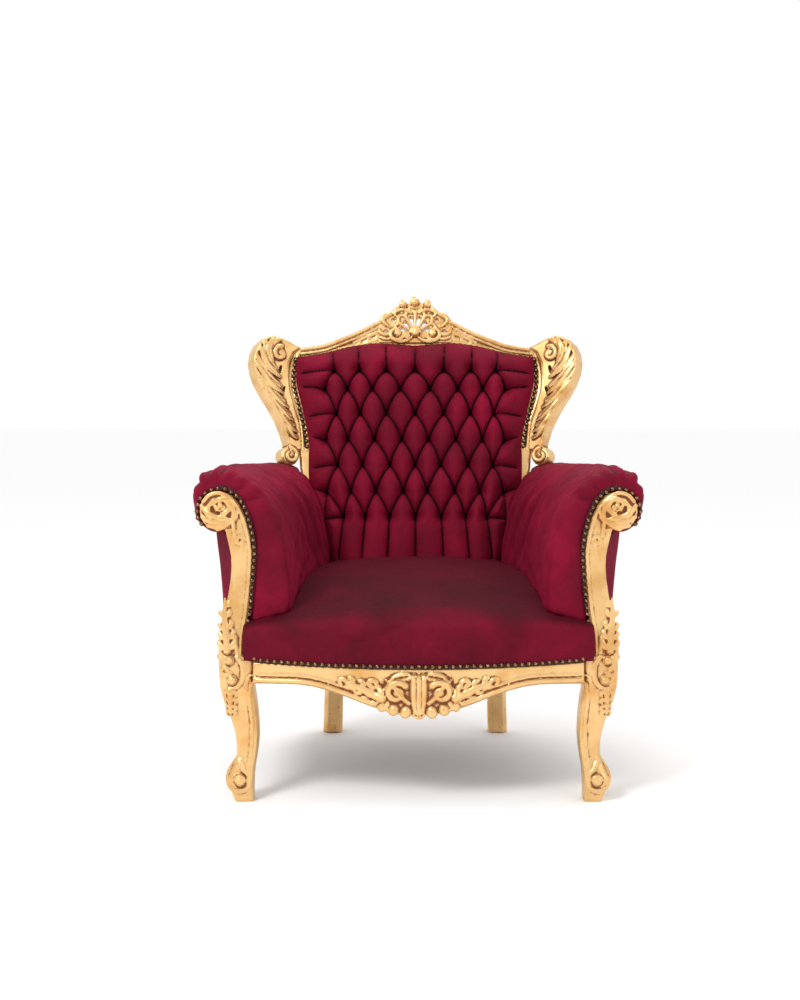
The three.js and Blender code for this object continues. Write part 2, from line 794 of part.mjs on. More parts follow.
// Two slots are pierced between the leaves and the post.
const wingSlots = [
  // x, height, half length, half width, turn
  [353, 915, 13, 4.5, 1.85],
  [344, 864, 12, 4, 1.9],
];
const wingFront = -20;
const wingBack = 26;
const slotCuts = wingSlots.map(([x, z, long, wide, turn]) => {
  const outline = new THREE.Shape(eye(reach(x), up(z), long, wide, turn, 7).getPoints());
  return elevation(outline, wingFront - 10, wingBack + 10);
});
const leftWing = wingGroup(1);
const rightWing = wingGroup(-1);
const intoWing = (solid) => solid.transform(leftWing.matrix.clone().invert().elements);
const crownScroll = { x: 354, z: 956, radius: 20 };
const wing = largest(
  elevation(wingOutline, wingFront, wingBack, 5)
    .add(
      spiralFillet(
        reach(crownScroll.x), up(crownScroll.z), crownScroll.radius, 5, 1.2, 7,
        wingFront - 6, wingFront + 10, Math.PI * 0.6, -1,
      ),
    )
    .add(
      spiralFillet(
        reach(wingFoot.x), up(wingFoot.z), wingFoot.radius - 5, 6, 1.2, 7,
        wingFront - 4, wingFront + 8, Math.PI * 0.5, 1,
      ),
    )
    .subtract(slotCuts[0])
    .subtract(slotCuts[1])
    .subtract(intoWing(grownPost))
    .subtract(intoWing(grown(crestRail))),
);

// ---------------------------------------------------------------------------------------------------------
// Upholstery. Each body is a stack of rings; its pad and the velvet over it are the same rings shrunk by the
// cover's thickness, so they nest with one clearance everywhere.
// ---------------------------------------------------------------------------------------------------------

// Seat: between the arms, and at the front as wide as the chair, up to the foot of each arm post.
const seatFloor = railTop + 6;
const seatWing = frontFace + 74; // the wide part of the seat ends here
const seatRearLine = [
  // x, how far back the seat reaches there
  [0, 190],
  [194, 190],
  [204, 170],
  [232, 60],
  [252, -60],
  [262, -220],
];
const seatTopZ = (x, y) => {
  const t = THREE.MathUtils.clamp((y - frontFace) / 470, 0, 1);
  const middle = mix(seatFrontEdge, seatCrown, Math.sin((Math.PI / 2) * Math.min(1, t * 1.15)));
  const drop = seatSideDrop * (x / 270) ** 2;
  const nose = 30 * Math.max(0, 1 - (y - railFaceY(x)) / 36) ** 2;
  return middle - drop - nose;
};
const noseSteps = [1, 10, 36]; // distances behind the face of the front rail
function seatRings(floorZ) {
  const half = [0, 90, 160, 200, 232, 262, 276, 320, seatCornerX - GAP];
  const xs = [...half.slice(1).reverse().map((x) => -x), ...half];
  return xs.map((x) => {
    const face = railFaceY(x);
    const narrow = Math.abs(x) < 270;
    const rear = narrow ? between(seatRearLine, Math.abs(x))[1] : seatWing;
    const nose = noseSteps.map((step) => face + step);
    const top = range(face + 36, rear, 5).slice(1);
    const row = [...nose, ...top].map((y) => v3(x, y, seatTopZ(x, y)));
    return [v3(x, row[0].y, floorZ), ...row, v3(x, row[row.length - 1].y, floorZ)];
  });
}
// The part of the cover that hangs over the front rail's rebate, down to the nail line, and turns up at
// each end beside the arm post's foot.
const flapXs = range(-335, 335, 16);
const flapCorner = [
  [347, nailLineSide - 2],
  [357, nailLineSide + 7],
  [seatCornerX - 1, 325],
  [seatCornerX - 1, 335],
];
const flapOutline = new THREE.Shape([
  ...flapXs.map((x) => v2(x, nailLineZ(x) + GAP)),
  ...flapCorner.map((p) => v2(...p)),
  ...[...flapCorner].reverse().map(([x, z]) => v2(-x, z)),
]);
const frontFlap = elevation(flapOutline, frontFace - 80, frontFace + 90).intersect(
  plan(band(1, rebate - GAP, wideXs), 100, 400),
);
const flapClear = grown(frontFlap);

// Back: a crowned pad in the back frame, thicker and wrapping forward at the bottom.
const webbingPlane = 8; // the inside back's webbing lies this far behind the frame's front face
const backStations = [
  // distance up the back, half width, how far it stands forward
  [100, 205, 58],
  [150, 226, 60],
  [220, 250, 60],
  [300, 268, 58],
  [372, 271, backBulge + 2],
  [410, 270, backBulge],
  [464, 280, backBulge],
  [520, 294, backBulge],
  [562, 304, backBulge],
  [600, 305, backBulge],
  [626, 302, backBulge],
];
const backEdge = 8; // how far the cover stands forward along its nailed edges
const backLevels = [...range(backStations[0][0], 560, 5), 595, 626];
function backRings(rear) {
  const low = backLevels[0];
  const high = backLevels[backLevels.length - 1];
  return backLevels.map((level) => {
    const [, half, bulge] = between(backStations, level);
    const ring = range(-1, 1, 10).map((s) => {
      const x = s * half;
      const rise = ((level - low) / (high - low)) ** 4 * (velvetTop(x) - high);
      const fadeTop = 1 - Math.max(0, (level - 540) / (high - 540)) ** 4;
      const stand = mix(backEdge, bulge, (1 - Math.abs(s) ** 6) * fadeTop);
      const wrap = 26 * smooth((300 - level) / 200) * s * s;
      return v3(x, -stand - wrap, level + rise);
    });
    ring.push(v3(ring[10].x, rear, ring[10].z), v3(ring[0].x, rear, ring[0].z));
    return ring;
  });
}
const grownCrest = grown(crestRail).add(grown(crestCartouche));
const trimBack = (solid) => largest(solid.subtract(grownCrest).subtract(grownPost).subtract(mirrored(grownPost)));
const backPad = trimBack(shrunk(backRings(webbingPlane + SKIN), SKIN + PAD_GAP));
const backCover = trimBack(loft(backRings(webbingPlane)).subtract(shrunk(backRings(webbingPlane + 20), SKIN)));
const backBody = shrunk(backRings(webbingPlane + 30), -GAP);

// Arm: a face towards the sitter that rolls over into a full, squarish scroll. Sections in X-Z.
const armFront = frontFace + 26;
const armRear = 236;
const armStations = [
  // y, roll centre x, roll centre z, outer reach, inside face x, top z, underside z
  [armFront, scrollX, 612, 58, armInner + 4, armPadTop - 4, 350],
  [-340, scrollX, 613, 61, armInner + 1, armPadTop, 350],
  [-300, scrollX + 2, 613, 61, armInner, armPadTop + 1, railTop + 3],
  [-200, scrollX + 3, 613, 60, armInner - 2, armPadTop + 1, railTop + 3],
  [-100, scrollX - 2, 613, 58, armInner - 6, armPadTop, railTop + 3],
  [0, 400, 613, 55, armInner - 16, armPadTop - 2, railTop + 3],
  [90, 376, 613, 53, armInner - 34, armPadTop - 6, railTop + 3],
  [160, 353, 614, 51, armInner - 50, armPadTop - 9, railTop + 3],
  [armRear, 336, 614, 49, armInner - 64, armPadTop - 12, railTop + 3],
];
const armLean = (y) => Math.tan(RAKE) * smooth((y - 20) / (armRear - 60)); // the rear end follows the back
const sideReach = sideFace.map(([x, y]) => [y, x]); // how far out the side rail's face lies at each y
function armRing(y, hidden, edge = 0) {
  const [, cx, cz, outward, inner, top, low] = between(armStations, y);
  const rise = top - cz - edge;
  const out = outward - edge;
  const face = inner + edge;
  const wall = Math.max(cx - 50, face + 96);
  const panelRoom = mix(18, 38, smooth((y + 40) / 150));
  const wallFoot = THREE.MathUtils.clamp(between(sideReach, y)[1] - panelRoom, face + 10, wall);
  const floor = low - hidden;
  const turn = (degrees) => {
    const a = THREE.MathUtils.degToRad(degrees);
    const power = degrees > 0 ? 0.7 : 1;
    const high = degrees > 0 ? rise : 52 - edge;
    return [
      cx + out * Math.abs(Math.cos(a)) ** power * Math.sign(Math.cos(a)),
      cz + high * Math.abs(Math.sin(a)) ** power * Math.sign(Math.sin(a)),
    ];
  };
  const inside = [
    [face + 3, floor],
    [face, mix(low, cz, 0.45)],
    [face + 12, cz - 75],
    [face + 32, cz - 12],
    [face + 66, cz + rise * 0.52],
    [Math.min(face + 110, cx - 14), cz + rise * 0.9],
  ];
  const under = [
    [wall + 6, cz - 56 + edge],
    [wall, cz - 62 + edge],
    [wallFoot, floor],
  ];
  return [...inside, ...[80, 45, 12, -28, -70].map(turn), ...under].map(
    ([x, z]) => v3(x, y + armLean(y) * (z - backBase), z),
  );
}
function armRings(hidden, rear = armRear) {
  const ys = [armFront, armFront + 12, -300, -190, -80, 20, 100, 160, rear];
  return ys.map((y) => armRing(y, hidden, y === armFront ? 7 : 0));
}
const backClear = outOfBack(backBody).add(backPostClear).add(mirrored(backPostClear));
const wingClear = outOfBack(grown(wing.transform(leftWing.matrix.elements), 2 * GAP));
const seatClear = shrunk(seatRings(seatFloor), -2 * GAP);

// Arm rail: a beech bar inside the roll, from the arm post to the back post.
const armRailLine = [armPostFront + armPostDepth + 40, -200, -100, 0, 90, 160, armRear].map((y) => {
  const [, cx, cz] = between(armStations, y);
  return v3(cx - 8, y + armLean(y) * (cz - backBase), cz - 6);
});
const armRailSize = 20; // half its thickness
const barAlong = (line, half) =>
  loft(
    line.map((p) => [
      p.clone().add(v3(-half, 0, -half)),
      p.clone().add(v3(half, 0, -half)),
      p.clone().add(v3(half, 0, half)),
      p.clone().add(v3(-half, 0, half)),
    ]),
  );
const armRail = largest(barAlong(armRailLine.slice(0, -1), armRailSize).subtract(armPostClear).subtract(backClear));
const armRailClear = barAlong([armRailLine[0].clone().add(v3(0, -60, 0)), ...armRailLine], armRailSize + GAP);

const trimArm = (solid) =>
  largest(
    [backClear, armPostClear, seatClear, flapClear, wingClear].reduce((left, limit) => left.subtract(limit), solid),
  );
const armCover = trimArm(loft(armRings(0)).subtract(shrunk(armRings(30), SKIN)));
const armPad = trimArm(shrunk(armRings(0), SKIN + PAD_GAP).subtract(armRailClear));

// Outside arm: a board covered in velvet, bulging like the side rail below it and leaning at its rear end.
const outsideArmTop = 565;
const outsideArmBlank = (() => {
  const rows = [0, 0.3, 0.65, 1];
  const last = sideLine.length - 1;
  const line = [sideLine[0].clone().add(v2(-6, -30)), ...sideLine.slice(1)];
  const postEdge = [...postOuterLine].reverse().map(([x, z]) => [z, x]);
  return loft(
    line.map((p, k) => {
      const n = sideNormals[k];
      const rear = smooth((k / last - 0.4) / 0.6);
      const face = (t, inside) => {
        const z = mix(railTop + GAP, outsideArmTop, t);
        const lean = mix(20, 8, k / last) * t ** 1.4;
        const q = p.clone().addScaledVector(n, lean - 4 - inside);
        if (k === 0) q.set(between(postEdge, z)[1] - 3 - inside, armPostFront + postSweep(z) + armPostDepth - 10);
        return v3(q.x + rear * 0.16 * (z - backBase), q.y + rear * Math.tan(RAKE) * (z - backBase), z);
      };
      return [...rows.map((t) => face(t, 0)), ...[...rows].reverse().map((t) => face(t, 7))];
    }),
  );
})();
const outsideArm = largest(
  outsideArmBlank
    .subtract(armPostClear)
    .subtract(shrunk(armRings(2, armRear + 20), -GAP))
    .subtract(armRailClear)
    .subtract(backPostClear),
);

// ---------------------------------------------------------------------------------------------------------
// Springing, webbing and linings
// ---------------------------------------------------------------------------------------------------------

// A zigzag spring from the front rail to the back rail, arched a little.
const springArch = 16;
function zigzagSpring(x) {
  const bends = 11;
  const [from, to] = [railFaceY(0) + railThickness - 10, 222];
  const points = Array.from({ length: bends + 1 }, (_, i) => {
    const t = i / bends;
    const swing = i === 0 || i === bends ? 0 : (i % 2 ? 1 : -1) * 20;
    const arch = springArch * Math.sin(Math.PI * t);
    return v3(x + swing, mix(from, to, t), railTop + springWire / 2 + GAP + arch);
  });
  const curve = new THREE.CatmullRomCurve3(points, false, "catmullrom", 0.5);
  const section = new THREE.Shape([v2(springWire / 2, 0), v2(0, springWire / 2), v2(-springWire / 2, 0), v2(0, -springWire / 2)]);
  return solidOf(new THREE.ExtrudeGeometry(section, { steps: 24, extrudePath: curve }));
}
const springXs = range(-1, 1, springCount - 1).map((t) => t * springPitch * ((springCount - 1) / 2));

// Hessian over the springs. The pad above is hollow underneath, where the springs arch into it.
const hessianUnder = railTop + springWire + springArch + 2 * GAP;
const wellFront = frontFace - frontBow + railThickness + 24;
const springWell = plan(
  new THREE.Shape([v2(-228, wellFront), v2(228, wellFront), v2(196, 200), v2(-196, 200)]),
  seatFloor - 20,
  hessianUnder + 3,
);
const hessian = plan(
  new THREE.Shape([v2(-224, wellFront + 4), v2(224, wellFront + 4), v2(178, 150), v2(-178, 150)]),
  hessianUnder,
  hessianUnder + 1.5,
);
const seatLimits = [armPostClear, mirrored(armPostClear), backClear, springWell];
const trimSeat = (solid) => largest(seatLimits.reduce((left, limit) => left.subtract(limit), solid));
const seatCover = trimSeat(
  loft(seatRings(seatFloor)).subtract(shrunk(seatRings(seatFloor - 30), SKIN)).add(frontFlap),
);
const padLimit = box([264, seatWing - 10, seatFloor - 20], [seatCornerX + 10, -200, seatCrown + 20]);
const seatPad = trimSeat(shrunk(seatRings(seatFloor - SKIN), SKIN + PAD_GAP))
  .subtract(padLimit)
  .subtract(mirrored(padLimit));

// Back webbing: jute straps crossed and tacked behind the frame's face.
const backWebbing = (() => {
  const depth = webbingPlane + 1;
  const upright = [-100, 0, 100].map((x) =>
    box([x - webbingWidth / 2, depth, 134], [x + webbingWidth / 2, depth + webbingThickness, 640]),
  );
  const across = [230, 360, 490].map((v) => {
    const half = between(backStations, v)[1] - 46;
    return box([-half, depth, v - webbingWidth / 2], [half, depth + webbingThickness, v + webbingWidth / 2]);
  });
  return [...upright, ...across].reduce((a, b) => a.add(b)).subtract(grownCrest);
})();
// Rail across the back above the seat, which the covers are pulled down to.
const tackingRail = largest(
  box([-300, 14, 96], [300, 38, 130]).subtract(grownPost).subtract(mirrored(grownPost)),
);

// Outside back: a velvet panel on a board behind the frame.
const outsideBackSide = backStations.filter((_, i) => i % 2 === 0 && i < 10).map(([v, half]) => v2(half - 3, v));
const outsideBackTop = crestLow.filter((p, i) => i % 2 === 1).map((p) => v2(p.x, p.y + coverLap));
const outsideBack = largest(elevation(
  new THREE.Shape([
    v2(190, -5),
    ...outsideBackSide,
    v2(299, 618),
    ...outsideBackTop.reverse(),
    v2(-299, 618),
    ...outsideBackSide.map((p) => v2(-p.x, p.y)).reverse(),
    v2(-190, -5),
  ]),
  crestThickness + GAP,
  crestThickness + GAP + 4,
)
  .subtract(grownPost)
  .subtract(mirrored(grownPost)));

// Dust cover under the springs.
const dustCover = plan(
  new THREE.Shape([
    v2(-300, -340),
    v2(300, -340),
    v2(348, -240),
    v2(356, -120),
    v2(312, 20),
    v2(170, 205),
    v2(-170, 205),
    v2(-312, 20),
    v2(-356, -120),
    v2(-348, -240),
  ]),
  railTop - 57,
  railTop - 55,
);

// Corner blocks: triangles glued and screwed into the frame's inner corners.
const blockY = frontFace + railThickness + 12;
const frontBlock = largest(
  plan(
    new THREE.Shape([v2(338, blockY + 4), v2(262, blockY), v2(372, blockY + 92), v2(376, blockY + 32), v2(340, blockY + 32)]),
    railTop - 52,
    railTop - 10,
  )
    .subtract(grown(sideRail))
    .subtract(grown(frontRail))
    .subtract(legClear),
);
const backBlock = plan(
  new THREE.Shape([v2(175, 208), v2(110, 208), v2(214, 140), v2(200, 170), v2(176, 196)]),
  railTop - 52,
  railTop - 10,
)
  .subtract(grown(sideRail))
  .subtract(backPostClear);

// ---------------------------------------------------------------------------------------------------------
// Nail bands: dark gimp strips along the edges of the covers
// ---------------------------------------------------------------------------------------------------------

const up3 = v3(0, 0, 1);
const forward = v3(0, -1, 0);
const frontBandXs = range(-railHalf + 6, railHalf - 6, 20);
const frontBand = strip(
  frontBandXs.map((x) => v3(x, railFaceY(x) + 0.6, nailLineZ(x) + nailBandWidth / 2 + 1)),
  frontBandXs.map(() => forward),
  nailBandWidth,
  nailBandThickness,
  frontBandXs.map(() => up3),
);
// Beside each arm post, from the corner of the seat up to the scroll, on the front of the arm pad.
const armBandLine = [
  [354, 392],
  [346, 462],
  [342, 528],
  [349, 575],
  [361, 614],
  [378, 642],
  [400, 656],
  [424, 657],
];
const armBandPoints = through(armBandLine, 12);
const armBand = strip(
  armBandPoints.map((p) => v3(p.x, armFront - GAP, p.y)),
  armBandPoints.map(() => forward),
  nailBandWidth - 3,
  nailBandThickness,
  armBandPoints.map((p, i) => {
    const [a, b] = [armBandPoints[Math.max(0, i - 1)], armBandPoints[Math.min(armBandPoints.length - 1, i + 1)]];
    return v3(-(b.y - a.y), 0, b.x - a.x).normalize();
  }),
).subtract(armPostClear);
const outsideBandLine = sideLine.slice(1, -2);
const outsideBandNormals = sideNormals.slice(1, -2);
const sideNailBand = largest(
  strip(
    outsideBandLine.map((p, i) => {
      const q = p.clone().addScaledVector(outsideBandNormals[i], -3.2);
      return v3(q.x, q.y, railTop + GAP + nailBandWidth / 2 + 1);
    }),
    outsideBandNormals.map((n) => v3(n.x, n.y, 0)),
    nailBandWidth,
    nailBandThickness,
    outsideBandLine.map(() => up3),
  )
    .subtract(armPostClear)
    .subtract(grown(outsideArm)),
);
// Round the inside back, on the face of the frame just outside the velvet.
const backBand = (() => {
  const start = up(armPadTop) + 29; // the band starts where the back rises above the arm
  const side = [start, ...backLevels.filter((v) => v > start)].map((v) => {
    const above = Math.max(1, backLevels.findIndex((level) => level >= v));
    const [low, high] = [backLevels[above - 1], backLevels[above]];
    const half = (level) => between(backStations, level)[1];
    return v2(mix(half(low), half(high), (v - low) / (high - low)) + 6, v);
  });
  const top = range(292, 0, 7).map((x) => v2(x, velvetTop(x) + 6));
  const half = [...side, v2(310, 634), ...top];
  const line = [...half, ...half.slice(0, -1).reverse().map((p) => v2(-p.x, p.y))];
  const band = strip(
    line.map((p) => v3(p.x, -GAP, p.y)),
    line.map(() => forward),
    nailBandWidth - 4,
    nailBandThickness,
    line.map((p, i) => {
      const [a, b] = [line[Math.max(0, i - 1)], line[Math.min(line.length - 1, i + 1)]];
      return v3(-(b.y - a.y), 0, b.x - a.x).normalize();
    }),
  );
  return largest(band.subtract(grown(backCover)));
})();

// ---------------------------------------------------------------------------------------------------------
// Assembly
// ---------------------------------------------------------------------------------------------------------

const frontLeg = legBlank
  .add(toeScroll)
  .subtract(grownBox(...frontTenon))
  .subtract(grownBox(...armPostTenon))
  .subtract(grownBox(...sideFrontTenon))
  .subtract(flapClear);
pair(chair, "front_leg", frontLeg, giltWood);
pair(chair, "arm_post", armPost, giltWood);
piece(chair, "front_rail", frontRail, giltWood);
pair(chair, "side_rail", sideRail, giltWood);
piece(chair, "back_rail", backRail, beech);
const backPost = backPostBlank.subtract(grownBox(...backRailTenon)).subtract(grownBox(...sideBackTenon));
pair(chair, "back_post", backPost, giltWood);
pair(chair, "front_corner_block", frontBlock, beech);
pair(chair, "back_corner_block", backBlock, beech);
pair(chair, "arm_rail", armRail, beech);

piece(back, "crest_rail", crestRail, giltWood);
piece(back, "crest_cartouche", crestCartouche, giltWood);
piece(leftWing, "wing_left", wing, giltWood);
piece(rightWing, "wing_right", mirrored(wing), giltWood);
piece(back, "back_tacking_rail", tackingRail, beech);
piece(back, "back_webbing", backWebbing, jute);
piece(back, "back_pad", backPad, foam);
piece(back, "back_cover", backCover, velvet);
piece(back, "outside_back_cover", outsideBack, velvet);

springXs.forEach((x, i) => piece(chair, "seat_spring_" + (i + 1), zigzagSpring(x), springSteel));
piece(chair, "seat_hessian", hessian, jute);
piece(chair, "seat_pad", seatPad, foam);
piece(chair, "seat_cover", seatCover, velvet);
pair(chair, "arm_pad", armPad, foam);
pair(chair, "arm_cover", armCover, velvet);
pair(chair, "outside_arm_cover", outsideArm, velvet);
piece(chair, "dust_cover", dustCover, cambric);
piece(chair, "front_nail_band", frontBand, bronze);
pair(chair, "arm_nail_band", armBand, bronze);
pair(chair, "side_nail_band", sideNailBand, bronze);
piece(back, "back_nail_band", backBand, bronze);

// The origin goes to the middle of the footprint, on the floor.
chair.updateMatrixWorld(true);
const extent = new THREE.Box3().setFromObject(chair, true);
chair.position.set(-(extent.min.x + extent.max.x) / 2, -(extent.min.y + extent.max.y) / 2, -extent.min.z);

export default chair;
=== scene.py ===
"""Carved and gilded armchair: finishes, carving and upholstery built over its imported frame.

Shapes are worked out in millimetres, in the chair's own design frame: +Z up, the chair facing -Y and its back
frame leaning from y = 200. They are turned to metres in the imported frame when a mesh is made.
"""

import math

import bmesh
import bpy
import numpy as np
from bpy.props import FloatProperty, FloatVectorProperty, IntProperty, PointerProperty
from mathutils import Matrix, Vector
from mathutils.bvhtree import BVHTree
from mathutils.kdtree import KDTree


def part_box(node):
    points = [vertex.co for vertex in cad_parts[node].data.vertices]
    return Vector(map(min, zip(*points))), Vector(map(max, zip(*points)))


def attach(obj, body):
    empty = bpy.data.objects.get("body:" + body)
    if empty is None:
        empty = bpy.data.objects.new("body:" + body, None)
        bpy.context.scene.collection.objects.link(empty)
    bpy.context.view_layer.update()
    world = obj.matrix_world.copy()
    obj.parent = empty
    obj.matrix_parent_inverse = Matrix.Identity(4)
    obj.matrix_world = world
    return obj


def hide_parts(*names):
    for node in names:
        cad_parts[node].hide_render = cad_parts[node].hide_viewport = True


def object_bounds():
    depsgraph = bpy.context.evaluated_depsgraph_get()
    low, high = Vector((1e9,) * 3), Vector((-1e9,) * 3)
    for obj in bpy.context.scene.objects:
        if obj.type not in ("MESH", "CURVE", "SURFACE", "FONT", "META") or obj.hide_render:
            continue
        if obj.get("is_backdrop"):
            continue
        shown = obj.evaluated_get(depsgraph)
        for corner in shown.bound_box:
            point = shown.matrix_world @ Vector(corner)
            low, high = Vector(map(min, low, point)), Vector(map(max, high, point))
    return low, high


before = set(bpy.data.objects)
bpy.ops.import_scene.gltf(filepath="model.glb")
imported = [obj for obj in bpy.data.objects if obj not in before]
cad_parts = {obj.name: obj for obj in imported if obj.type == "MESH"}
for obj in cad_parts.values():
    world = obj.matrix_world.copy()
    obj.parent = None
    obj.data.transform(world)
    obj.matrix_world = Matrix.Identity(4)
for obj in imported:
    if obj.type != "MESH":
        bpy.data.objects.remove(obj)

bl_info = {
    "name": "Carved Gilt Armchair",
    "version": (1, 0, 0),
    "blender": (4, 5, 0),
    "location": "View3D > Sidebar > Armchair",
    "description": "Builds the carving, gilding, tufting and nailing of a winged armchair over its frame",
    "category": "Object",
}

CAD_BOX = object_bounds()
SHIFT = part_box("back_rail")[0].y * 1000.0 - 212.0  # how far the design frame was moved along Y

# ----------------------------------------------------------------------------------------------------------
# Colours and nodes
# ----------------------------------------------------------------------------------------------------------


def linear(hex_colour):
    """An sRGB hex colour as linear red, green and blue."""
    values = [int(hex_colour.lstrip("#")[i : i + 2], 16) / 255.0 for i in (0, 2, 4)]
    return tuple(v / 12.92 if v <= 0.04045 else ((v + 0.055) / 1.055) ** 2.4 for v in values)


def rgba(colour):
    return (*tuple(colour)[:3], 1.0)


def add_node(material, kind, settings=None, **inputs):
    """Adds a node, sets its properties, and fills or links its inputs by name or number."""
    tree = material.node_tree
    made = tree.nodes.new(kind)
    for key, value in (settings or {}).items():
        setattr(made, key, value)
    for key, value in inputs.items():
        numbered = key[0] == "i" and key[1:].isdigit()
        socket = made.inputs[int(key[1:]) if numbered else key.replace("_", " ")]
        if isinstance(value, bpy.types.NodeSocket):
            tree.links.new(value, socket)
        else:
            socket.default_value = value
    return made


def new_material(name):
    material = bpy.data.materials.new(name)
    material.use_nodes = True
    material.node_tree.nodes.clear()
    return material


def surface(material, **inputs):
    """The shader that ends a material. Constants sit on its own sockets."""
    shader = add_node(material, "ShaderNodeBsdfPrincipled", None, **inputs)
    add_node(material, "ShaderNodeOutputMaterial", None, Surface=shader.outputs["BSDF"])
    return shader


def millimetres(material, scale):
    """Object coordinates multiplied so that one unit of the pattern is 1 / scale millimetres."""
    place = add_node(material, "ShaderNodeTexCoord")
    grown = add_node(
        material, "ShaderNodeVectorMath", {"operation": "SCALE"}, i0=place.outputs["Object"],
        Scale=1000.0 * scale
    )
    return grown.outputs[0]


def ramp(material, factor, stops):
    """A colour ramp through (place, colour) stops."""
    made = add_node(material, "ShaderNodeValToRGB", None, Fac=factor)
    elements = made.color_ramp.elements
    while len(elements) > 1:
        elements.remove(elements[-1])
    elements[0].position, elements[0].color = stops[0][0], rgba(stops[0][1])
    for place, colour in stops[1:]:
        elements.new(place).color = rgba(colour)
    return made.outputs["Color"]


def grey(value):
    return (value, value, value)


# ----------------------------------------------------------------------------------------------------------
# Settings a maker would change
# ----------------------------------------------------------------------------------------------------------


class ChairFinishes(bpy.types.PropertyGroup):
    """Colours of the chair's finishes"""

    gold: FloatVectorProperty(
        name="Gold leaf", description="Colour of the burnished leaf", subtype="COLOR", size=3, min=0, max=1,
        default=linear("#DDB47A"),
    )
    # The bole colour also serves as the gilding's painted shade: the hollows are mixed towards it.
    bole: FloatVectorProperty(
        name="Bole", description="Red-brown clay that shows in the hollows", subtype="COLOR", size=3, min=0,
        max=1,
        default=linear("#6E3710"),
    )
    velvet: FloatVectorProperty(
        name="Velvet", description="Colour of the pile seen from above", subtype="COLOR", size=3, min=0,
        max=1,
        default=linear("#700222"),
    )
    pile: FloatVectorProperty(
        name="Pile sheen", description="Colour of the light on the ends of the pile", subtype="COLOR", size=3,
        min=0, max=1, default=linear("#D2325F"),
    )


class ChairUpholstery(bpy.types.PropertyGroup):
    """Sizes of the tufting and the nails"""

    pit_depth: FloatProperty(
        name="Pit depth", description="How deep the tufting is pulled in at each pit", unit="LENGTH",
        default=0.026, min=0.005, max=0.05,
    )
    pleat_depth: FloatProperty(
        name="Pleat depth", description="How deep the folds between the pits are", unit="LENGTH",
        default=0.015, min=0.002, max=0.04,
    )
    nail_width: FloatProperty(
        name="Nail head", description="Diameter of the nail heads", unit="LENGTH", default=0.011, min=0.005,
        max=0.02,
    )
    nail_pitch: FloatProperty(
        name="Nail pitch", description="Distance between the nails", unit="LENGTH", default=0.0143, min=0.008,
        max=0.03,
    )


class ChairCarving(bpy.types.PropertyGroup):
    """Fineness of the carved wood"""

    grain: FloatProperty(
        name="Carving grain", description="Smallest size that the carving keeps", unit="LENGTH",
        default=0.0019,
        min=0.001, max=0.006,
    )
    polish: IntProperty(
        name="Sanding passes", description="How often the carved surface is smoothed", default=2, min=0,
        max=12,
    )


# ----------------------------------------------------------------------------------------------------------
# Materials
# ----------------------------------------------------------------------------------------------------------


def gold_leaf():
    """Gold leaf over red bole on carved beech, burnished, then rubbed. The leaf gives a warm soft mirror on
    the crowns and rims.
    The hollows are mixed towards the red-brown clay, which stands both for the bole showing through and for
    painted shade in the carving."""
    material = new_material("gold_leaf_over_bole")
    colours = bpy.context.scene.chair_finishes
    hollow = add_node(material, "ShaderNodeAttribute", {"attribute_name": "hollow"}).outputs["Fac"]
    patches = add_node(
        material, "ShaderNodeTexNoise", None, Vector=millimetres(material, 1 / 60), Scale=1.0, Detail=3.0
    ).outputs["Fac"]
    mottle = add_node(
        material, "ShaderNodeTexNoise", None, Vector=millimetres(material, 1 / 9), Scale=1.0, Detail=4.0,
        Roughness=0.6,
    ).outputs["Fac"]
    # Painted shade: random mottle plus the hollow attribute. The deeper the carving, the more the leaf turns
    # to the bole colour, which stands both for clay showing through and for shade in the recesses.
    stain_and_shade = add_node(
        material, "ShaderNodeMath", {"operation": "MULTIPLY_ADD"}, i0=mottle, i1=0.5, i2=hollow
    ).outputs[0]
    bole_and_shade = add_node(
        material, "ShaderNodeMapRange", {"interpolation_type": "SMOOTHSTEP"}, Value=stain_and_shade, From_Min=0.32,
        From_Max=0.66,
    ).outputs[0]
    gold = tuple(colours.gold)
    deep = tuple(g * f for g, f in zip(gold, (0.84, 0.68, 0.48)))
    leaf = ramp(
        material, patches, [(0.30, deep), (0.52, gold), (0.72, tuple(min(1, g * 1.08) for g in gold))]
    )
    # Bole and painted shade: the hollows are mixed from the leaf towards the bole colour.
    tone = add_node(
        material, "ShaderNodeMix", {"data_type": "RGBA"}, i0=bole_and_shade, i6=leaf, i7=rgba(colours.bole)
    ).outputs[2]
    metal = add_node(material, "ShaderNodeMapRange", None, Value=bole_and_shade, To_Min=0.72, To_Max=0.15).outputs[0]
    matt = add_node(
        material, "ShaderNodeMapRange", None, Value=mottle, From_Min=0.3, From_Max=0.7, To_Min=0.26,
        To_Max=0.40
    )
    rough = add_node(
        material, "ShaderNodeMath", {"operation": "MULTIPLY_ADD"}, i0=bole_and_shade, i1=0.3, i2=matt.outputs[0]
    ).outputs[0]
    bump = add_node(
        material, "ShaderNodeBump", None, Strength=0.35, Distance=0.0006, Height=mottle
    ).outputs["Normal"]
    surface(material, Base_Color=tone, Metallic=metal, Roughness=rough, Normal=bump)
    return material


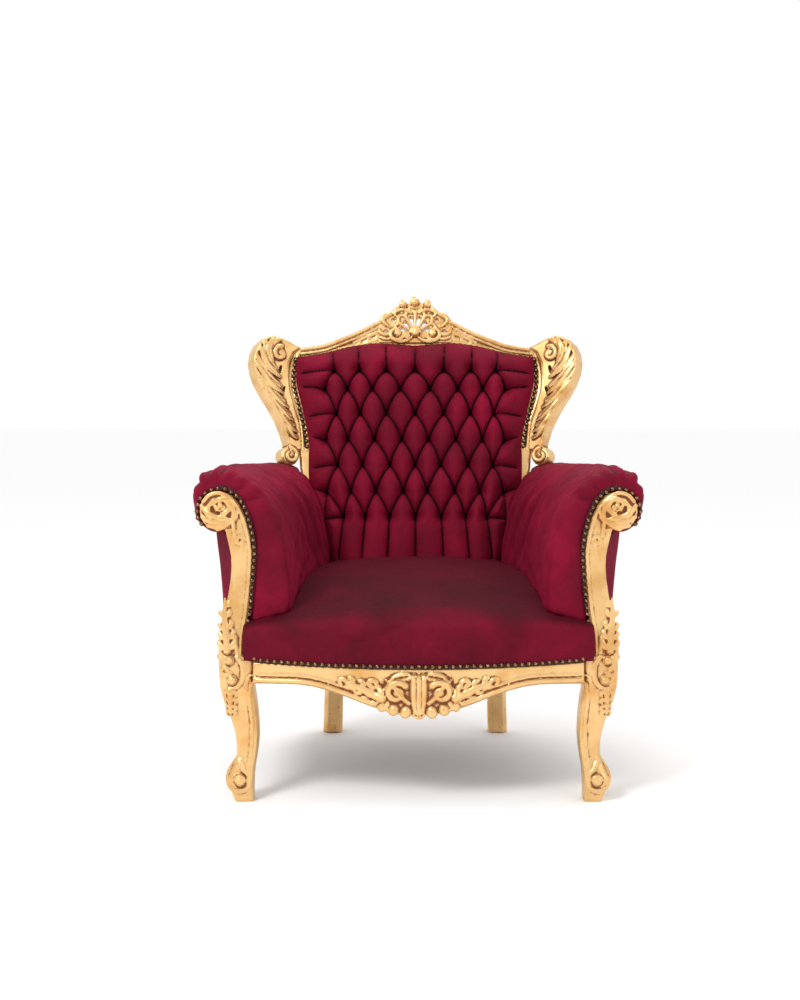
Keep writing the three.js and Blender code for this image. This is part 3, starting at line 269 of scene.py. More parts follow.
def cut_velvet(name="crimson_cut_velvet", seat_shade=0.0):
    """Crimson cut-pile velvet. The pile drinks light seen end on and catches it at a slant, and it lies in
    strokes where hands have brushed it, which show as paler and darker clouds some centimetres long."""
    material = new_material(name)
    colours = bpy.context.scene.chair_finishes
    base = tuple(colours.velvet)
    hollow = add_node(material, "ShaderNodeAttribute", {"attribute_name": "hollow"}).outputs["Fac"]
    clouds = add_node(
        material, "ShaderNodeTexNoise", None, Vector=millimetres(material, 1 / 130), Scale=1.0, Detail=3.0,
        Roughness=0.5, Distortion=0.5,
    ).outputs["Fac"]
    strokes = add_node(
        material, "ShaderNodeTexNoise", None, Vector=millimetres(material, 1 / 14), Scale=1.0, Detail=3.0
    ).outputs["Fac"]
    pile = add_node(
        material, "ShaderNodeTexNoise", None, Vector=millimetres(material, 1 / 1.2), Scale=1.0, Detail=1.0
    ).outputs["Fac"]
    lay = add_node(
        material, "ShaderNodeMath", {"operation": "MULTIPLY_ADD"}, i0=strokes, i1=0.22, i2=clouds
    ).outputs[0]
    # The seat copy darkens the whole ramp and weakens the sheen: painted shade on the seat.
    tone = ramp(
        material, lay,
        [
            (0.42, tuple(c * (0.66 - 0.2 * seat_shade) for c in base)),
            (0.62, tuple(c * (0.88 - 0.25 * seat_shade) for c in base)),
            (0.84, tuple(min(1.0, c * (1.22 - 0.3 * seat_shade)) for c in base)),
        ],
    )
    # Painted shade: faces turned upwards are darkened, on the seat copy only, standing for the dark top of
    # the seat.
    normal = add_node(material, "ShaderNodeNewGeometry").outputs["Normal"]
    upward = add_node(material, "ShaderNodeSeparateXYZ", None, Vector=normal).outputs["Z"]
    upward_shade = add_node(
        material, "ShaderNodeMapRange", {"interpolation_type": "SMOOTHSTEP"}, Value=upward, From_Min=0.55,
        From_Max=1.0, To_Max=0.6 * seat_shade,
    ).outputs[0]
    # Painted shade: creases, pits and pleats, where the hollow attribute is high, are darkened towards
    # near-black velvet.
    crease = add_node(
        material, "ShaderNodeMapRange", {"interpolation_type": "SMOOTHSTEP"}, Value=hollow, From_Min=0.04,
        From_Max=0.50,
    ).outputs[0]
    shade = add_node(material, "ShaderNodeMath", {"operation": "MAXIMUM"}, i0=crease, i1=upward_shade).outputs[0]
    colour = add_node(
        material, "ShaderNodeMix", {"data_type": "RGBA"}, i0=shade, i6=tone,
        i7=rgba(tuple(c * 0.09 for c in base)),
    ).outputs[2]
    height = add_node(
        material, "ShaderNodeMath", {"operation": "MULTIPLY_ADD"}, i0=strokes, i1=1.6, i2=pile
    ).outputs[0]
    bump = add_node(
        material, "ShaderNodeBump", None, Strength=0.5, Distance=0.0012, Height=height
    ).outputs["Normal"]
    surface(
        material, Base_Color=colour, Roughness=0.72, Normal=bump, Specular_IOR_Level=0.12,
        Sheen_Weight=0.28 - 0.1 * seat_shade, Sheen_Roughness=0.36, Sheen_Tint=rgba(colours.pile),
    )
    return material


def planed_beech():
    """Planed steamed beech. Short darker flecks lie along the grain of a pale, dull surface."""
    material = new_material("planed_beech")
    stretched = add_node(
        material, "ShaderNodeMapping", None, Vector=millimetres(material, 1.0), Scale=(0.02, 0.35, 0.35)
    ).outputs[0]
    grain = add_node(
        material, "ShaderNodeTexNoise", None, Vector=stretched, Scale=1.0, Detail=5.0
    ).outputs["Fac"]
    colour = ramp(
        material, grain, [(0.3, linear("#9C6A3C")), (0.55, linear("#C99B66")), (0.75, linear("#D9B07E"))]
    )
    bump = add_node(
        material, "ShaderNodeBump", None, Strength=0.2, Distance=0.0004, Height=grain
    ).outputs["Normal"]
    surface(material, Base_Color=colour, Roughness=0.6, Normal=bump)
    return material


def antique_bronze():
    """Steel upholstery nails browned to antique bronze: dark round the rim, rubbed on the crown."""
    material = new_material("antique_bronze_nails")
    crown = add_node(material, "ShaderNodeAttribute", {"attribute_name": "crown"}).outputs["Fac"]
    speck = add_node(
        material, "ShaderNodeTexNoise", None, Vector=millimetres(material, 1 / 3.0), Scale=1.0, Detail=2.0
    ).outputs["Fac"]
    rub = add_node(material, "ShaderNodeMath", {"operation": "MULTIPLY"}, i0=crown, i1=speck).outputs[0]
    colour = ramp(
        material, rub, [(0.12, linear("#2C1C14")), (0.36, linear("#5A3E2A")), (0.55, linear("#B08A60"))]
    )
    surface(material, Base_Color=colour, Metallic=0.9, Roughness=0.36)
    return material


def dark_gimp_and_shadow():
    """The woven strip and shadow behind the nail heads: black-brown cotton, dull."""
    material = new_material("brown_cotton_gimp_and_painted_shadow")
    weave = add_node(
        material, "ShaderNodeTexWave", {"wave_type": "BANDS"}, Vector=millimetres(material, 1.0), Scale=0.45,
        Distortion=2.0,
    ).outputs["Fac"]
    colour = ramp(material, weave, [(0.2, linear("#22100E")), (0.8, linear("#4A2420"))])
    surface(material, Base_Color=colour, Roughness=0.9)
    return material


def woven(name, dark, light, thread):
    """A plain open weave of two sets of threads, thread millimetres apart: dull, with darker gaps."""
    material = new_material(name)
    across = add_node(
        material, "ShaderNodeTexWave", {"bands_direction": "X"}, Vector=millimetres(material, 1 / thread),
        Scale=1.0, Distortion=0.6,
    ).outputs["Fac"]
    along = add_node(
        material, "ShaderNodeTexWave", {"bands_direction": "Y"}, Vector=millimetres(material, 1 / thread),
        Scale=1.0, Distortion=0.6,
    ).outputs["Fac"]
    both = add_node(material, "ShaderNodeMath", {"operation": "MULTIPLY"}, i0=across, i1=along).outputs[0]
    colour = ramp(material, both, [(0.05, linear(dark)), (0.5, linear(light))])
    bump = add_node(
        material, "ShaderNodeBump", None, Strength=0.5, Distance=0.0006, Height=both
    ).outputs["Normal"]
    surface(material, Base_Color=colour, Roughness=0.92, Normal=bump)
    return material


def zinc_wire():
    """Zinc-plated spring wire: grey, half bright, with cloudy plating."""
    material = new_material("zinc_plated_spring_wire")
    cloud = add_node(
        material, "ShaderNodeTexNoise", None, Vector=millimetres(material, 1 / 8), Scale=1.0, Detail=3.0
    ).outputs["Fac"]
    colour = ramp(material, cloud, [(0.3, linear("#8C8F94")), (0.7, linear("#B9BCC0"))])
    surface(material, Base_Color=colour, Metallic=1.0, Roughness=0.4)
    return material


MATERIALS = {}


def finish(name):
    """Each finish is made once."""
    makers = {
        "gold": gold_leaf,
        "velvet": cut_velvet,
        # The seat's velvet is a darker copy of the same velvet: painted shade on the seat.
        "seat_velvet": lambda: cut_velvet("crimson_cut_velvet_shaded_seat", seat_shade=1.0),
        "beech": planed_beech,
        "bronze": antique_bronze,
        # The gimp finish is also the painted shadow behind the nail heads.
        "gimp": dark_gimp_and_shadow,
        "jute": lambda: woven("woven_jute", "#6A5230", "#B99A66", 2.4),
        "cambric": lambda: woven("black_cambric", "#0C0B0B", "#2A2726", 1.0),
        "steel": zinc_wire,
    }
    if name not in MATERIALS:
        MATERIALS[name] = makers[name]()
    return MATERIALS[name]


# ----------------------------------------------------------------------------------------------------------
# Mesh helpers. A shape is a pair (points in mm, faces).
# ----------------------------------------------------------------------------------------------------------


def to_row(points):
    """Design millimetres to the row's metres."""
    return (np.asarray(points, float) + [0.0, SHIFT, 0.0]) * 0.001


def from_row(points):
    return np.asarray(points, float) * 1000.0 - [0.0, SHIFT, 0.0]


def cad_shape(name):
    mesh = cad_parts[name].data
    co = np.empty(len(mesh.vertices) * 3)
    mesh.vertices.foreach_get("co", co)
    return from_row(co.reshape(-1, 3)), [tuple(p.vertices) for p in mesh.polygons]


def together(shapes):
    points, faces, start = [], [], 0
    for co, polygons in shapes:
        points.append(np.asarray(co, float))
        faces += [tuple(i + start for i in polygon) for polygon in polygons]
        start += len(co)
    return np.vstack(points), faces


def mirror(shape):
    co, faces = shape
    return co * [-1, 1, 1], [tuple(reversed(f)) for f in faces]


def both_sides(shapes):
    return shapes + [mirror(s) for s in shapes]


def make_object(name, shape, material):
    co, faces = shape
    mesh = bpy.data.meshes.new(name)
    mesh.from_pydata(to_row(co).tolist(), [], faces)
    mesh.update()
    obj = bpy.data.objects.new(name, mesh)
    bpy.context.scene.collection.objects.link(obj)
    mesh.materials.append(finish(material))
    mesh.polygons.foreach_set("use_smooth", [True] * len(mesh.polygons))
    return obj


def apply_modifier(obj, kind, **settings):
    modifier = obj.modifiers.new(kind.lower(), kind)
    for key, value in settings.items():
        setattr(modifier, key, value)
    evaluated = obj.evaluated_get(bpy.context.evaluated_depsgraph_get())
    mesh = bpy.data.meshes.new_from_object(evaluated)
    old = obj.data
    materials = list(old.materials)
    obj.modifiers.clear()
    obj.data = mesh
    mesh.materials.clear()
    for material in materials:
        mesh.materials.append(material)
    bpy.data.meshes.remove(old)
    mesh.polygons.foreach_set("use_smooth", [True] * len(mesh.polygons))
    return obj


def coordinates(mesh):
    co = np.empty(len(mesh.vertices) * 3)
    mesh.vertices.foreach_get("co", co)
    return co.reshape(-1, 3)


def normals(mesh):
    mesh.update()
    no = np.empty(len(mesh.vertices) * 3)
    mesh.vertex_normals.foreach_get("vector", no)
    return no.reshape(-1, 3)


def edge_pairs(mesh):
    pairs = np.empty(len(mesh.edges) * 2, int)
    mesh.edges.foreach_get("vertices", pairs)
    return pairs.reshape(-1, 2)


def relaxed(co, pairs, passes, strength=0.5):
    """Points moved towards their neighbours' mean."""
    count = np.maximum(1, np.bincount(pairs.ravel(), minlength=len(co)))[:, None]
    for _ in range(passes):
        total = np.stack(
            [
                np.bincount(pairs[:, 0], co[pairs[:, 1], k], len(co))
                + np.bincount(pairs[:, 1], co[pairs[:, 0], k], len(co))
                for k in range(3)
            ],
            axis=1,
        )
        co = co + strength * (total / count - co)
    return co


def set_points(mesh, co):
    mesh.vertices.foreach_set("co", np.ascontiguousarray(co, float).ravel())
    mesh.update()


def mark_hollows(mesh, passes, depth):
    """Writes how far each point lies in a hollow, from -1 on a crown to 1, as a fraction of depth in mm."""
    co = coordinates(mesh)
    gap = relaxed(co, edge_pairs(mesh), passes) - co
    value = np.einsum("ij,ij->i", gap, normals(mesh)) * 1000.0 / depth
    attribute = mesh.attributes.get("hollow") or mesh.attributes.new("hollow", "FLOAT", "POINT")
    attribute.data.foreach_set("value", np.clip(value, -1, 1).astype(np.float32))


def outer_shell(mesh):
    """Drops every loose part of a mesh but the one with the largest box."""
    pairs = edge_pairs(mesh)
    label = np.arange(len(mesh.vertices))
    while True:
        low = np.minimum(label[pairs[:, 0]], label[pairs[:, 1]])
        new = label.copy()
        np.minimum.at(new, pairs[:, 0], low)
        np.minimum.at(new, pairs[:, 1], low)
        new = new[new]
        if (new == label).all():
            break
        label = new
    co = coordinates(mesh)
    names = np.unique(label)
    if len(names) == 1:
        return
    spans = [np.prod(np.ptp(co[label == n], axis=0) + 1e-9) for n in names]
    keep = names[int(np.argmax(spans))]
    bm = bmesh.new()
    bm.from_mesh(mesh)
    bm.verts.ensure_lookup_table()
    bmesh.ops.delete(bm, geom=[bm.verts[i] for i in np.nonzero(label != keep)[0]], context="VERTS")
    bm.to_mesh(mesh)
    bm.free()


def belongs(obj, slot, *nodes):
    """The piece rides on the chair and stands for these CAD nodes, which are hidden. The slot argument is not
    used.
    """
    if nodes:
        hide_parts(*nodes)
    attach(obj, "root")
    return obj


# ----------------------------------------------------------------------------------------------------------
# Lines and strokes
# ----------------------------------------------------------------------------------------------------------


def line_through(points, count):
    """Points spaced evenly along a smooth line through the given ones."""
    p = np.array(points, float)
    ends = np.vstack([2 * p[0] - p[1], p, 2 * p[-1] - p[-2]])
    parts = []
    for i in range(len(p) - 1):
        a, b, c, d = ends[i : i + 4]
        t = np.linspace(0, 1, 14, endpoint=False)[:, None]
        parts.append(
            0.5 * (2 * b + (c - a) * t + (2 * a - 5 * b + 4 * c - d) * t**2 + (3 * b - a - 3 * c + d) * t**3)
        )
    return resample(np.vstack(parts + [p[-1:]]), count)


def resample(line, count):
    steps = np.r_[0, np.cumsum(np.linalg.norm(np.diff(line, axis=0), axis=1))]
    places = np.linspace(0, steps[-1], count)
    return np.stack([np.interp(places, steps, line[:, k]) for k in range(line.shape[1])], axis=1)


def length_of(line):
    return float(np.linalg.norm(np.diff(line, axis=0), axis=1).sum())


def spiral(centre, outer, inner, turns, start, way, count=40):
    """A scroll winding in from its rim, in a flat panel's own coordinates. start is in degrees."""
    t = np.linspace(0, 1, count)
    angle = math.radians(start) + way * t * turns * 2 * math.pi
    radius = outer + (inner - outer) * t**0.85
    return np.stack([centre[0] + radius * np.cos(angle), centre[1] + radius * np.sin(angle)], axis=1)


def unit(v):
    return v / np.maximum(1e-9, np.linalg.norm(v, axis=-1, keepdims=True))


def stroke(line, radii, out, flat=0.75, sides=10):
    """A closed carved stroke: an oval section swept along a line. It stands up in the direction out."""
    line = np.asarray(line, float)
    n = len(line)
    radii = np.interp(np.linspace(0, 1, n), np.linspace(0, 1, len(radii)), radii)
    out = np.broadcast_to(np.asarray(out, float), line.shape)
    tangent = unit(np.gradient(line, axis=0))
    side = unit(np.cross(tangent, out))
    up = unit(np.cross(side, tangent))
    angle = np.linspace(0, 2 * math.pi, sides, endpoint=False)
    ring = (
        line[:, None]
        + radii[:, None, None] * np.cos(angle)[None, :, None] * side[:, None]
        + radii[:, None, None] * flat * np.sin(angle)[None, :, None] * up[:, None]
    )
    points = np.vstack([
        ring.reshape(-1, 3), line[:1] - tangent[:1] * radii[0] * 0.6,
        line[-1:] + tangent[-1:] * radii[-1] * 0.6
    ])
    faces = []
    for r in range(n - 1):
        for i in range(sides):
            j = (i + 1) % sides
            faces.append((r * sides + i, r * sides + j, (r + 1) * sides + j, (r + 1) * sides + i))
    first, last = n * sides, n * sides + 1
    for i in range(sides):
        j = (i + 1) % sides
        faces.append((first, j, i))
        faces.append((last, (n - 1) * sides + i, (n - 1) * sides + j))
    return points, faces


def drop(centre, size, out, turn=(0, 0, 1)):
    """A closed rounded boss: half widths across, along and out of the surface."""
    out = unit(np.asarray(out, float))
    along = unit(np.asarray(turn, float) - out * np.dot(turn, out))
    across = np.cross(along, out)
    rows, sides = 8, 12
    points, faces = [], []
    for r in range(rows + 1):
        a = math.pi * r / rows
        for s in range(sides):
            b = 2 * math.pi * s / sides
            v = (
                across * size[0] * math.sin(a) * math.cos(b)
                + along * size[1] * math.cos(a)
                + out * size[2] * math.sin(a) * math.sin(b)
            )
            points.append(np.asarray(centre, float) + v)
    for r in range(rows):
        for s in range(sides):
            t = (s + 1) % sides
            faces.append((r * sides + s, (r + 1) * sides + s, (r + 1) * sides + t, r * sides + t))
    return np.array(points), faces


class Panel:
    """A face that is carved: flat coordinates (u, v) in mm, laid on the wood behind them."""

    def __init__(self, shapes, origin, u, v, out):
        co, faces = together(shapes)
        self.tree = BVHTree.FromPolygons([Vector(p) for p in co], faces)
        self.origin, self.u, self.v, self.out = (np.array(a, float) for a in (origin, u, v, out))

    def lay(self, points, lift=0.0):
        """The points on the wood, raised by lift."""
        placed, last = [], None
        for u, v in np.asarray(points, float)[:, :2]:
            flat = self.origin + self.u * u + self.v * v
            hit = self.tree.ray_cast(Vector(flat + self.out * 150), Vector(-self.out), 400)[0]
            depth = last if hit is None else float(np.dot(np.array(hit) - flat, self.out))
            placed.append((flat, depth))
            last = depth
        known = [d for _, d in placed if d is not None] or [0.0]
        return np.array([f + self.out * ((d if d is not None else known[0]) + lift) for f, d in placed])

    def stroke(self, points, radii, count=24, lift=0.0, flat=0.75, even=True):
        line = line_through(points, count) if len(points) < count else np.asarray(points, float)
        laid = self.lay(line, lift)
        if even:
            depth = relaxed_line(laid @ self.out)
            laid = laid + np.outer(depth - laid @ self.out, self.out)
        return stroke(laid, radii, self.out, flat)

    def boss(self, point, size, lift=0.0, turn=0.0):
        spot = self.lay([point], lift)[0]
        a = math.radians(turn)
        return drop(spot, size, self.out, self.v * math.cos(a) + self.u * math.sin(a))

    def leaf(self, spine, width, lobes=4, lift=0.0, swell=1.0, count=18, curl=0.75):
        """An acanthus leaf: a rib that tapers to its tip, with curled lobes on both sides."""
        line = line_through(spine, count)
        size = width * 0.24 * swell
        made = [self.stroke(line, [size * 0.9, size, size * 0.75, size * 0.3], count, lift + size * 0.15)]
        tangent = unit(np.gradient(line, axis=0))
        for k in range(lobes):
            t = (k + 0.35) / lobes
            i = int(t * (count - 1))
            root, along = line[i], tangent[i]
            reach = width * (0.62 - 0.34 * t)
            for way in (-1, 1):
                side = np.array([-along[1], along[0]]) * way
                bend = [
                    root,
                    root + side * reach * 0.55 + along * reach * 0.25,
                    root + side * reach * 0.95 + along * reach * 0.85,
                    root + side * reach * 0.75 + along * reach * (0.85 + curl * 0.6),
                ]
                r = size * (0.85 - 0.35 * t)
                made.append(self.stroke(bend, [r * 0.6, r, r * 0.9, r * 0.35], 12, lift, 0.7))
        return made


def relaxed_line(values, passes=4):
    """A row of numbers with its jumps eased."""
    values = np.array(values, float)
    for _ in range(passes):
        values[1:-1] = 0.5 * values[1:-1] + 0.25 * (values[:-2] + values[2:])
    return values


def carve(name, shapes, voxel, sanding, hollow=(10, 1.6)):
    """One carved piece: its shapes fused at the given grain, eased, and marked where they are hollow."""
    obj = make_object(name, together(shapes), "gold")
    apply_modifier(obj, "REMESH", mode="VOXEL", voxel_size=voxel * 0.001, adaptivity=0.0)
    mesh = obj.data
    outer_shell(mesh)
    co, pairs = coordinates(mesh), edge_pairs(mesh)
    co = relaxed(co, pairs, sanding)
    set_points(mesh, co)
    mark_hollows(mesh, *hollow)
    mesh.polygons.foreach_set("use_smooth", [True] * len(mesh.polygons))
    return obj


def mirrored_object(obj, name):
    """A copy of a finished piece for the other side of the chair."""
    mesh = obj.data.copy()
    mesh.name = name
    co = coordinates(mesh)
    co[:, 0] *= -1
    mesh.vertices.foreach_set("co", co.ravel())
    mesh.flip_normals()
    mesh.update()
    twin = bpy.data.objects.new(name, mesh)
    bpy.context.scene.collection.objects.link(twin)
    return twin


def sided(obj, name, slot, *nodes):
    """Adds the piece at +X as _left and its mirror image as _right."""
    obj.name = name + "_left"
    twin = mirrored_object(obj, name + "_right")
    for piece, side in ((obj, "_left"), (twin, "_right")):
        belongs(piece, slot, *[n + side for n in nodes])
    return obj, twin


# ----------------------------------------------------------------------------------------------------------
# Where things lie
# ----------------------------------------------------------------------------------------------------------

RAKE = math.radians(12)
EAR_TURN = math.radians(28)
BACK_ORIGIN = np.array([0.0, 200.0, 330.0])
BACK_UP = np.array([0.0, math.sin(RAKE), math.cos(RAKE)])
BACK_OUT = np.array([0.0, -math.cos(RAKE), math.sin(RAKE)])
ACROSS = np.array([1.0, 0.0, 0.0])
UP = np.array([0.0, 0.0, 1.0])
FORWARD = np.array([0.0, -1.0, 0.0])
HINGE = 322.0


def up_back(z):
    """Height above the floor to distance up the leaning back."""
    return (z - 330.0) / math.cos(RAKE)


def on_back(x, along, out=0.0):
    """A point by its place across the back, along it, and out of its front face."""
    x, along, out = np.broadcast_arrays(*(np.asarray(a, float) for a in (x, along, out)))
    return BACK_ORIGIN + x[..., None] * ACROSS + along[..., None] * BACK_UP + out[..., None] * BACK_OUT


EAR_U = math.cos(EAR_TURN) * ACROSS + math.sin(EAR_TURN) * BACK_OUT
EAR_OUT = -math.sin(EAR_TURN) * ACROSS + math.cos(EAR_TURN) * BACK_OUT
EAR_ORIGIN = BACK_ORIGIN + HINGE * ACROSS - 4.0 * BACK_OUT


def on_ear(x, z):
    """The ear's flat coordinates for a place seen square from the front of the back."""
    return [(x - HINGE) / math.cos(EAR_TURN), up_back(z)]


def rail_face(x):
    return -390.0 - 34.0 * (1 - (np.asarray(x, float) / 418.0) ** 2)


def nail_line(x):
    return 284.0 + 16.0 * (np.asarray(x, float) / 418.0) ** 2


def apron_edge(x):
    t = np.minimum(1, np.abs(np.asarray(x, float)) / 262.0)
    return 186.0 + 64.0 * (0.5 - 0.5 * np.cos(np.pi * t))


CREST_TOP = [(0, 742), (60, 740), (92, 733), (135, 711), (180, 691), (234, 671), (296, 661)]
VELVET_TOP = [(0, 658), (93, 665), (135, 661), (184, 652), (234, 638), (304, 627)]
SIDE_FACE = [
    (411, -325), (422, -270), (427, -200), (424, -120), (407, -30), (370, 60), (318, 138), (266, 193),
    (228, 222)
]
SIDE_EDGE = [(-340, 244), (-250, 252), (-150, 238), (-60, 228), (30, 238), (120, 250), (240, 246)]
BACK_SIDES = [
    (100, 205, 58), (150, 226, 60), (220, 250, 60), (300, 268, 58), (372, 271, 54), (410, 270, 52),
    (464, 280, 52), (520, 294, 52), (562, 304, 52), (600, 305, 52), (626, 302, 52),
]  # distance up the back, half width, how far it stands forward
SCROLL = (415.0, 609.0, 40.0)


def along(points, x):
    """A smooth line's height at x."""
    line = line_through(points, 160)
    return np.interp(x, line[:, 0], line[:, 1])


def velvet_top(x):
    return along(VELVET_TOP, np.abs(x))


# ----------------------------------------------------------------------------------------------------------
# Carved and gilded show-wood
# ----------------------------------------------------------------------------------------------------------


def grain_mm():
    return bpy.context.scene.chair_carving.grain * 1000.0


def polish():
    return bpy.context.scene.chair_carving.polish


def half_of(shape):
    """The part of a closed shape on the sitter's left, closed again where it is cut."""
    made = bmesh.new()
    vertices = [made.verts.new(p) for p in shape[0]]
    for face in shape[1]:
        made.faces.new([vertices[i] for i in face])
    bmesh.ops.remove_doubles(made, verts=made.verts[:], dist=0.001)
    whole = made.verts[:] + made.edges[:] + made.faces[:]
    bmesh.ops.bisect_plane(made, geom=whole, plane_co=(-0.8, 0, 0), plane_no=(-1, 0, 0), clear_outer=True)
    bmesh.ops.triangle_fill(made, edges=[e for e in made.edges if e.is_boundary], use_beauty=True)
    made.verts.index_update()
    result = (np.array([v.co[:] for v in made.verts]), [tuple(v.index for v in f.verts) for f in made.faces])
    made.free()
    return result


def knee_and_toe(front, side):
    """Cabriole leg: beads in a C-scroll on the knee, a husk drop, and a ball in a curled leaf."""
    shapes = [front.stroke(
        [(380, 306), (370, 293), (366, 274), (369, 255), (379, 242), (391, 238)], [3.6, 4.8, 4.4, 3.0], 24
    )]
    shapes.append(front.boss((394, 297), (9, 9, 8)))
    shapes.append(front.boss((389, 256), (10, 10, 9)))
    shapes.append(front.stroke(spiral((403, 276), 12, 4, 1.0, 200, 1, 20), [3.6, 2.8], 20))
    for z, size in ((230, 12), (214, 10.5), (199, 8.5), (187, 6.5)):
        shapes.append(front.boss((393 + (230 - z) * 0.02, z), (size * 0.6, size, 6)))
        for way in (-1, 1):
            x = 393 + way * (7 + size * 0.35)
            shapes.append(
                front.stroke([(393, z + 6), (x, z - 1), (x - way * 3, z - 11)], [3.4, 4.0, 1.6], 10)
            )
    shapes += side.leaf([(-360, 300), (-358, 270), (-360, 235), (-362, 190)], 24, 4, lift=-4.5)
    shapes.append(side.boss((-362, 300), (8, 8, 7)))
    shapes.append(front.boss((373, 45), (11.5, 11.5, 10)))
    curl = [(382, 92), (392, 74), (400, 52), (394, 30), (376, 22), (358, 28), (352, 40)]
    shapes.append(front.stroke(curl, [1.6, 4.6, 5.4, 4.6, 2.4], 30))
    shapes.append(front.stroke([(382, 94), (373, 80), (366, 66), (357, 58)], [1.6, 4.2, 3.8, 2.0], 16))
    shapes.append(side.stroke([(-372, 92), (-380, 70), (-384, 46), (-374, 26)], [1.6, 4.5, 5, 3], 18))
    return shapes


def hand_scroll(front, side):
    """Arm post: a rim beside the nails, a leafed volute at the hand and a leaf from the knee."""
    rim = [
        (371, 318), (369, 352), (363, 388), (355, 462), (352, 528), (360, 572), (373, 610), (389, 634),
        (404, 643)
    ]
    shapes = [front.stroke(rim, [2.6, 2.8, 2.8, 2.4], 60)]
    cx, cz, _ = SCROLL
    shapes.append(
        front.stroke(spiral((cx - 4, cz + 12), 20, 5, 1.3, 265, -1, 34), [6, 5.6, 3.6], 34, lift=1.5)
    )
    shapes.append(front.boss((cx - 4, cz + 12), (6, 6, 6), lift=2.5))
    for tip, bend, r in (
        ((453, 622), (430, 600), 7.5),
        ((452, 598), (426, 588), 8.0),
        ((440, 578), (416, 580), 8.0),
        ((420, 569), (403, 579), 7.0),
    ):
        shapes.append(
            front.stroke([(386, 590), bend, tip], [2.4, r * 0.8, r, r * 0.5], 16, lift=1.0, flat=0.75)
        )
    brow = [(383, 556), (386, 584), (385, 608), (392, 632), (412, 646), (434, 643), (449, 628)]
    shapes.append(front.stroke(brow, [2, 4, 5, 5, 3.4], 34, lift=0.5))
    shapes.append(
        front.stroke([(366, 552), (373, 556), (379, 549), (375, 541), (368, 545)], [1.4, 2.8, 2.8, 1.6], 16)
    )
    shapes.append(front.stroke([(368, 545), (370, 530), (374, 514)], [2.4, 2.2, 1.0], 10))
    shapes += front.leaf([(399, 314), (401, 350), (405, 385), (404, 428)], 29, 5, swell=1.15)
    shapes.append(front.stroke([(379, 312), (382, 342), (391, 366)], [3.2, 3.8, 1.6], 14))
    shapes += side.leaf([(-360, 318), (-362, 350), (-366, 385), (-366, 430)], 24, 4, lift=-4.5)
    return shapes


def front_rail_carving(front):
    """Half of the front rail: an edge moulding that turns down the leg, C-scrolls and leaves."""
    xs = np.linspace(96, 322, 20)
    edge = list(zip(xs, apron_edge(xs) + 8))
    edge += [(338, 256), (349, 246), (353, 226), (351, 195), (348, 165), (349, 130), (352, 100), (354, 80)]
    shapes = [front.stroke(edge, [4.4, 5.2, 4.6, 3.4, 2.2], 90)]
    inner = list(zip(xs, apron_edge(xs) + 19)) + [
        (344, 268), (358, 258), (364, 232), (362, 200), (359, 165), (360, 130)
    ]
    shapes.append(front.stroke(inner, [1.8, 2.2, 1.8, 1.2], 80))
    shapes.append(front.stroke(spiral((46, 237), 24, 7, 1.15, 150, -1, 34), [6.6, 6.0, 3.8], 34, lift=2))
    shapes.append(front.boss((46, 237), (6.5, 6.5, 6), lift=2.5))
    shapes.append(
        front.stroke([(20, 214), (33, 226), (52, 250), (68, 262)], [2.6, 5.0, 4.6, 2.2], 18, lift=3)
    )
    shapes.append(
        front.stroke([(12, 270), (30, 274), (48, 269), (64, 258)], [2.4, 5.0, 4.6, 2.4], 18, lift=1.5)
    )
    shapes += front.leaf([(72, 224), (94, 232), (118, 244), (150, 258)], 32, 4, lift=1, swell=1.2)
    shapes.append(front.stroke(spiral((98, 252), 12, 4, 1.0, 220, -1, 20), [4.6, 3.0], 20, lift=1.5))
    shapes.append(front.stroke(
        [(118, 236), (138, 246), (154, 262), (164, 260), (160, 252)], [3, 4.8, 4.6, 2.4], 22, lift=0.5
    ))
    for x, size in ((27, 13), (52, 12), (76, 11)):
        shapes.append(front.boss((x, float(apron_edge(x)) + 8), (size * 0.85, size, 7), lift=1, turn=-18))
    shapes.append(front.stroke([(10, 274), (11, 245), (10, 215), (7, 194)], [4.4, 5.6, 5.2, 3.2], 20, lift=2))
    shapes.append(front.stroke([(0, 272), (0, 240), (0, 212), (0, 190)], [3.6, 4.2, 4.4, 3.2], 20, lift=3))
    return shapes


class CHAIR_OT_front_frame(bpy.types.Operator):
    """Front frame: cabriole legs, arm posts and serpentine rail, gilded over their joints"""

    bl_idname = "chair.front_frame"
    bl_label = "Front frame"

    def execute(self, context):
        leg, post = cad_shape("front_leg_left"), cad_shape("arm_post_left")
        rail = half_of(cad_shape("front_rail"))
        front = Panel([leg, post, rail], (0, -430, 0), ACROSS, UP, FORWARD)
        shapes = [leg, post, rail] + front_rail_carving(front)
        shapes += knee_and_toe(front, Panel([leg], (420, 0, 0), (0, 1, 0), UP, ACROSS))
        shapes += hand_scroll(front, Panel([post], (440, 0, 0), (0, 1, 0), UP, ACROSS))
        half = carve("front_frame", shapes, grain_mm(), polish(), (12, 1.3))
        left, _ = sided(half, "carved_front_frame", "gilt", "front_leg", "arm_post")
        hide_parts("front_rail")
        return {"FINISHED"}


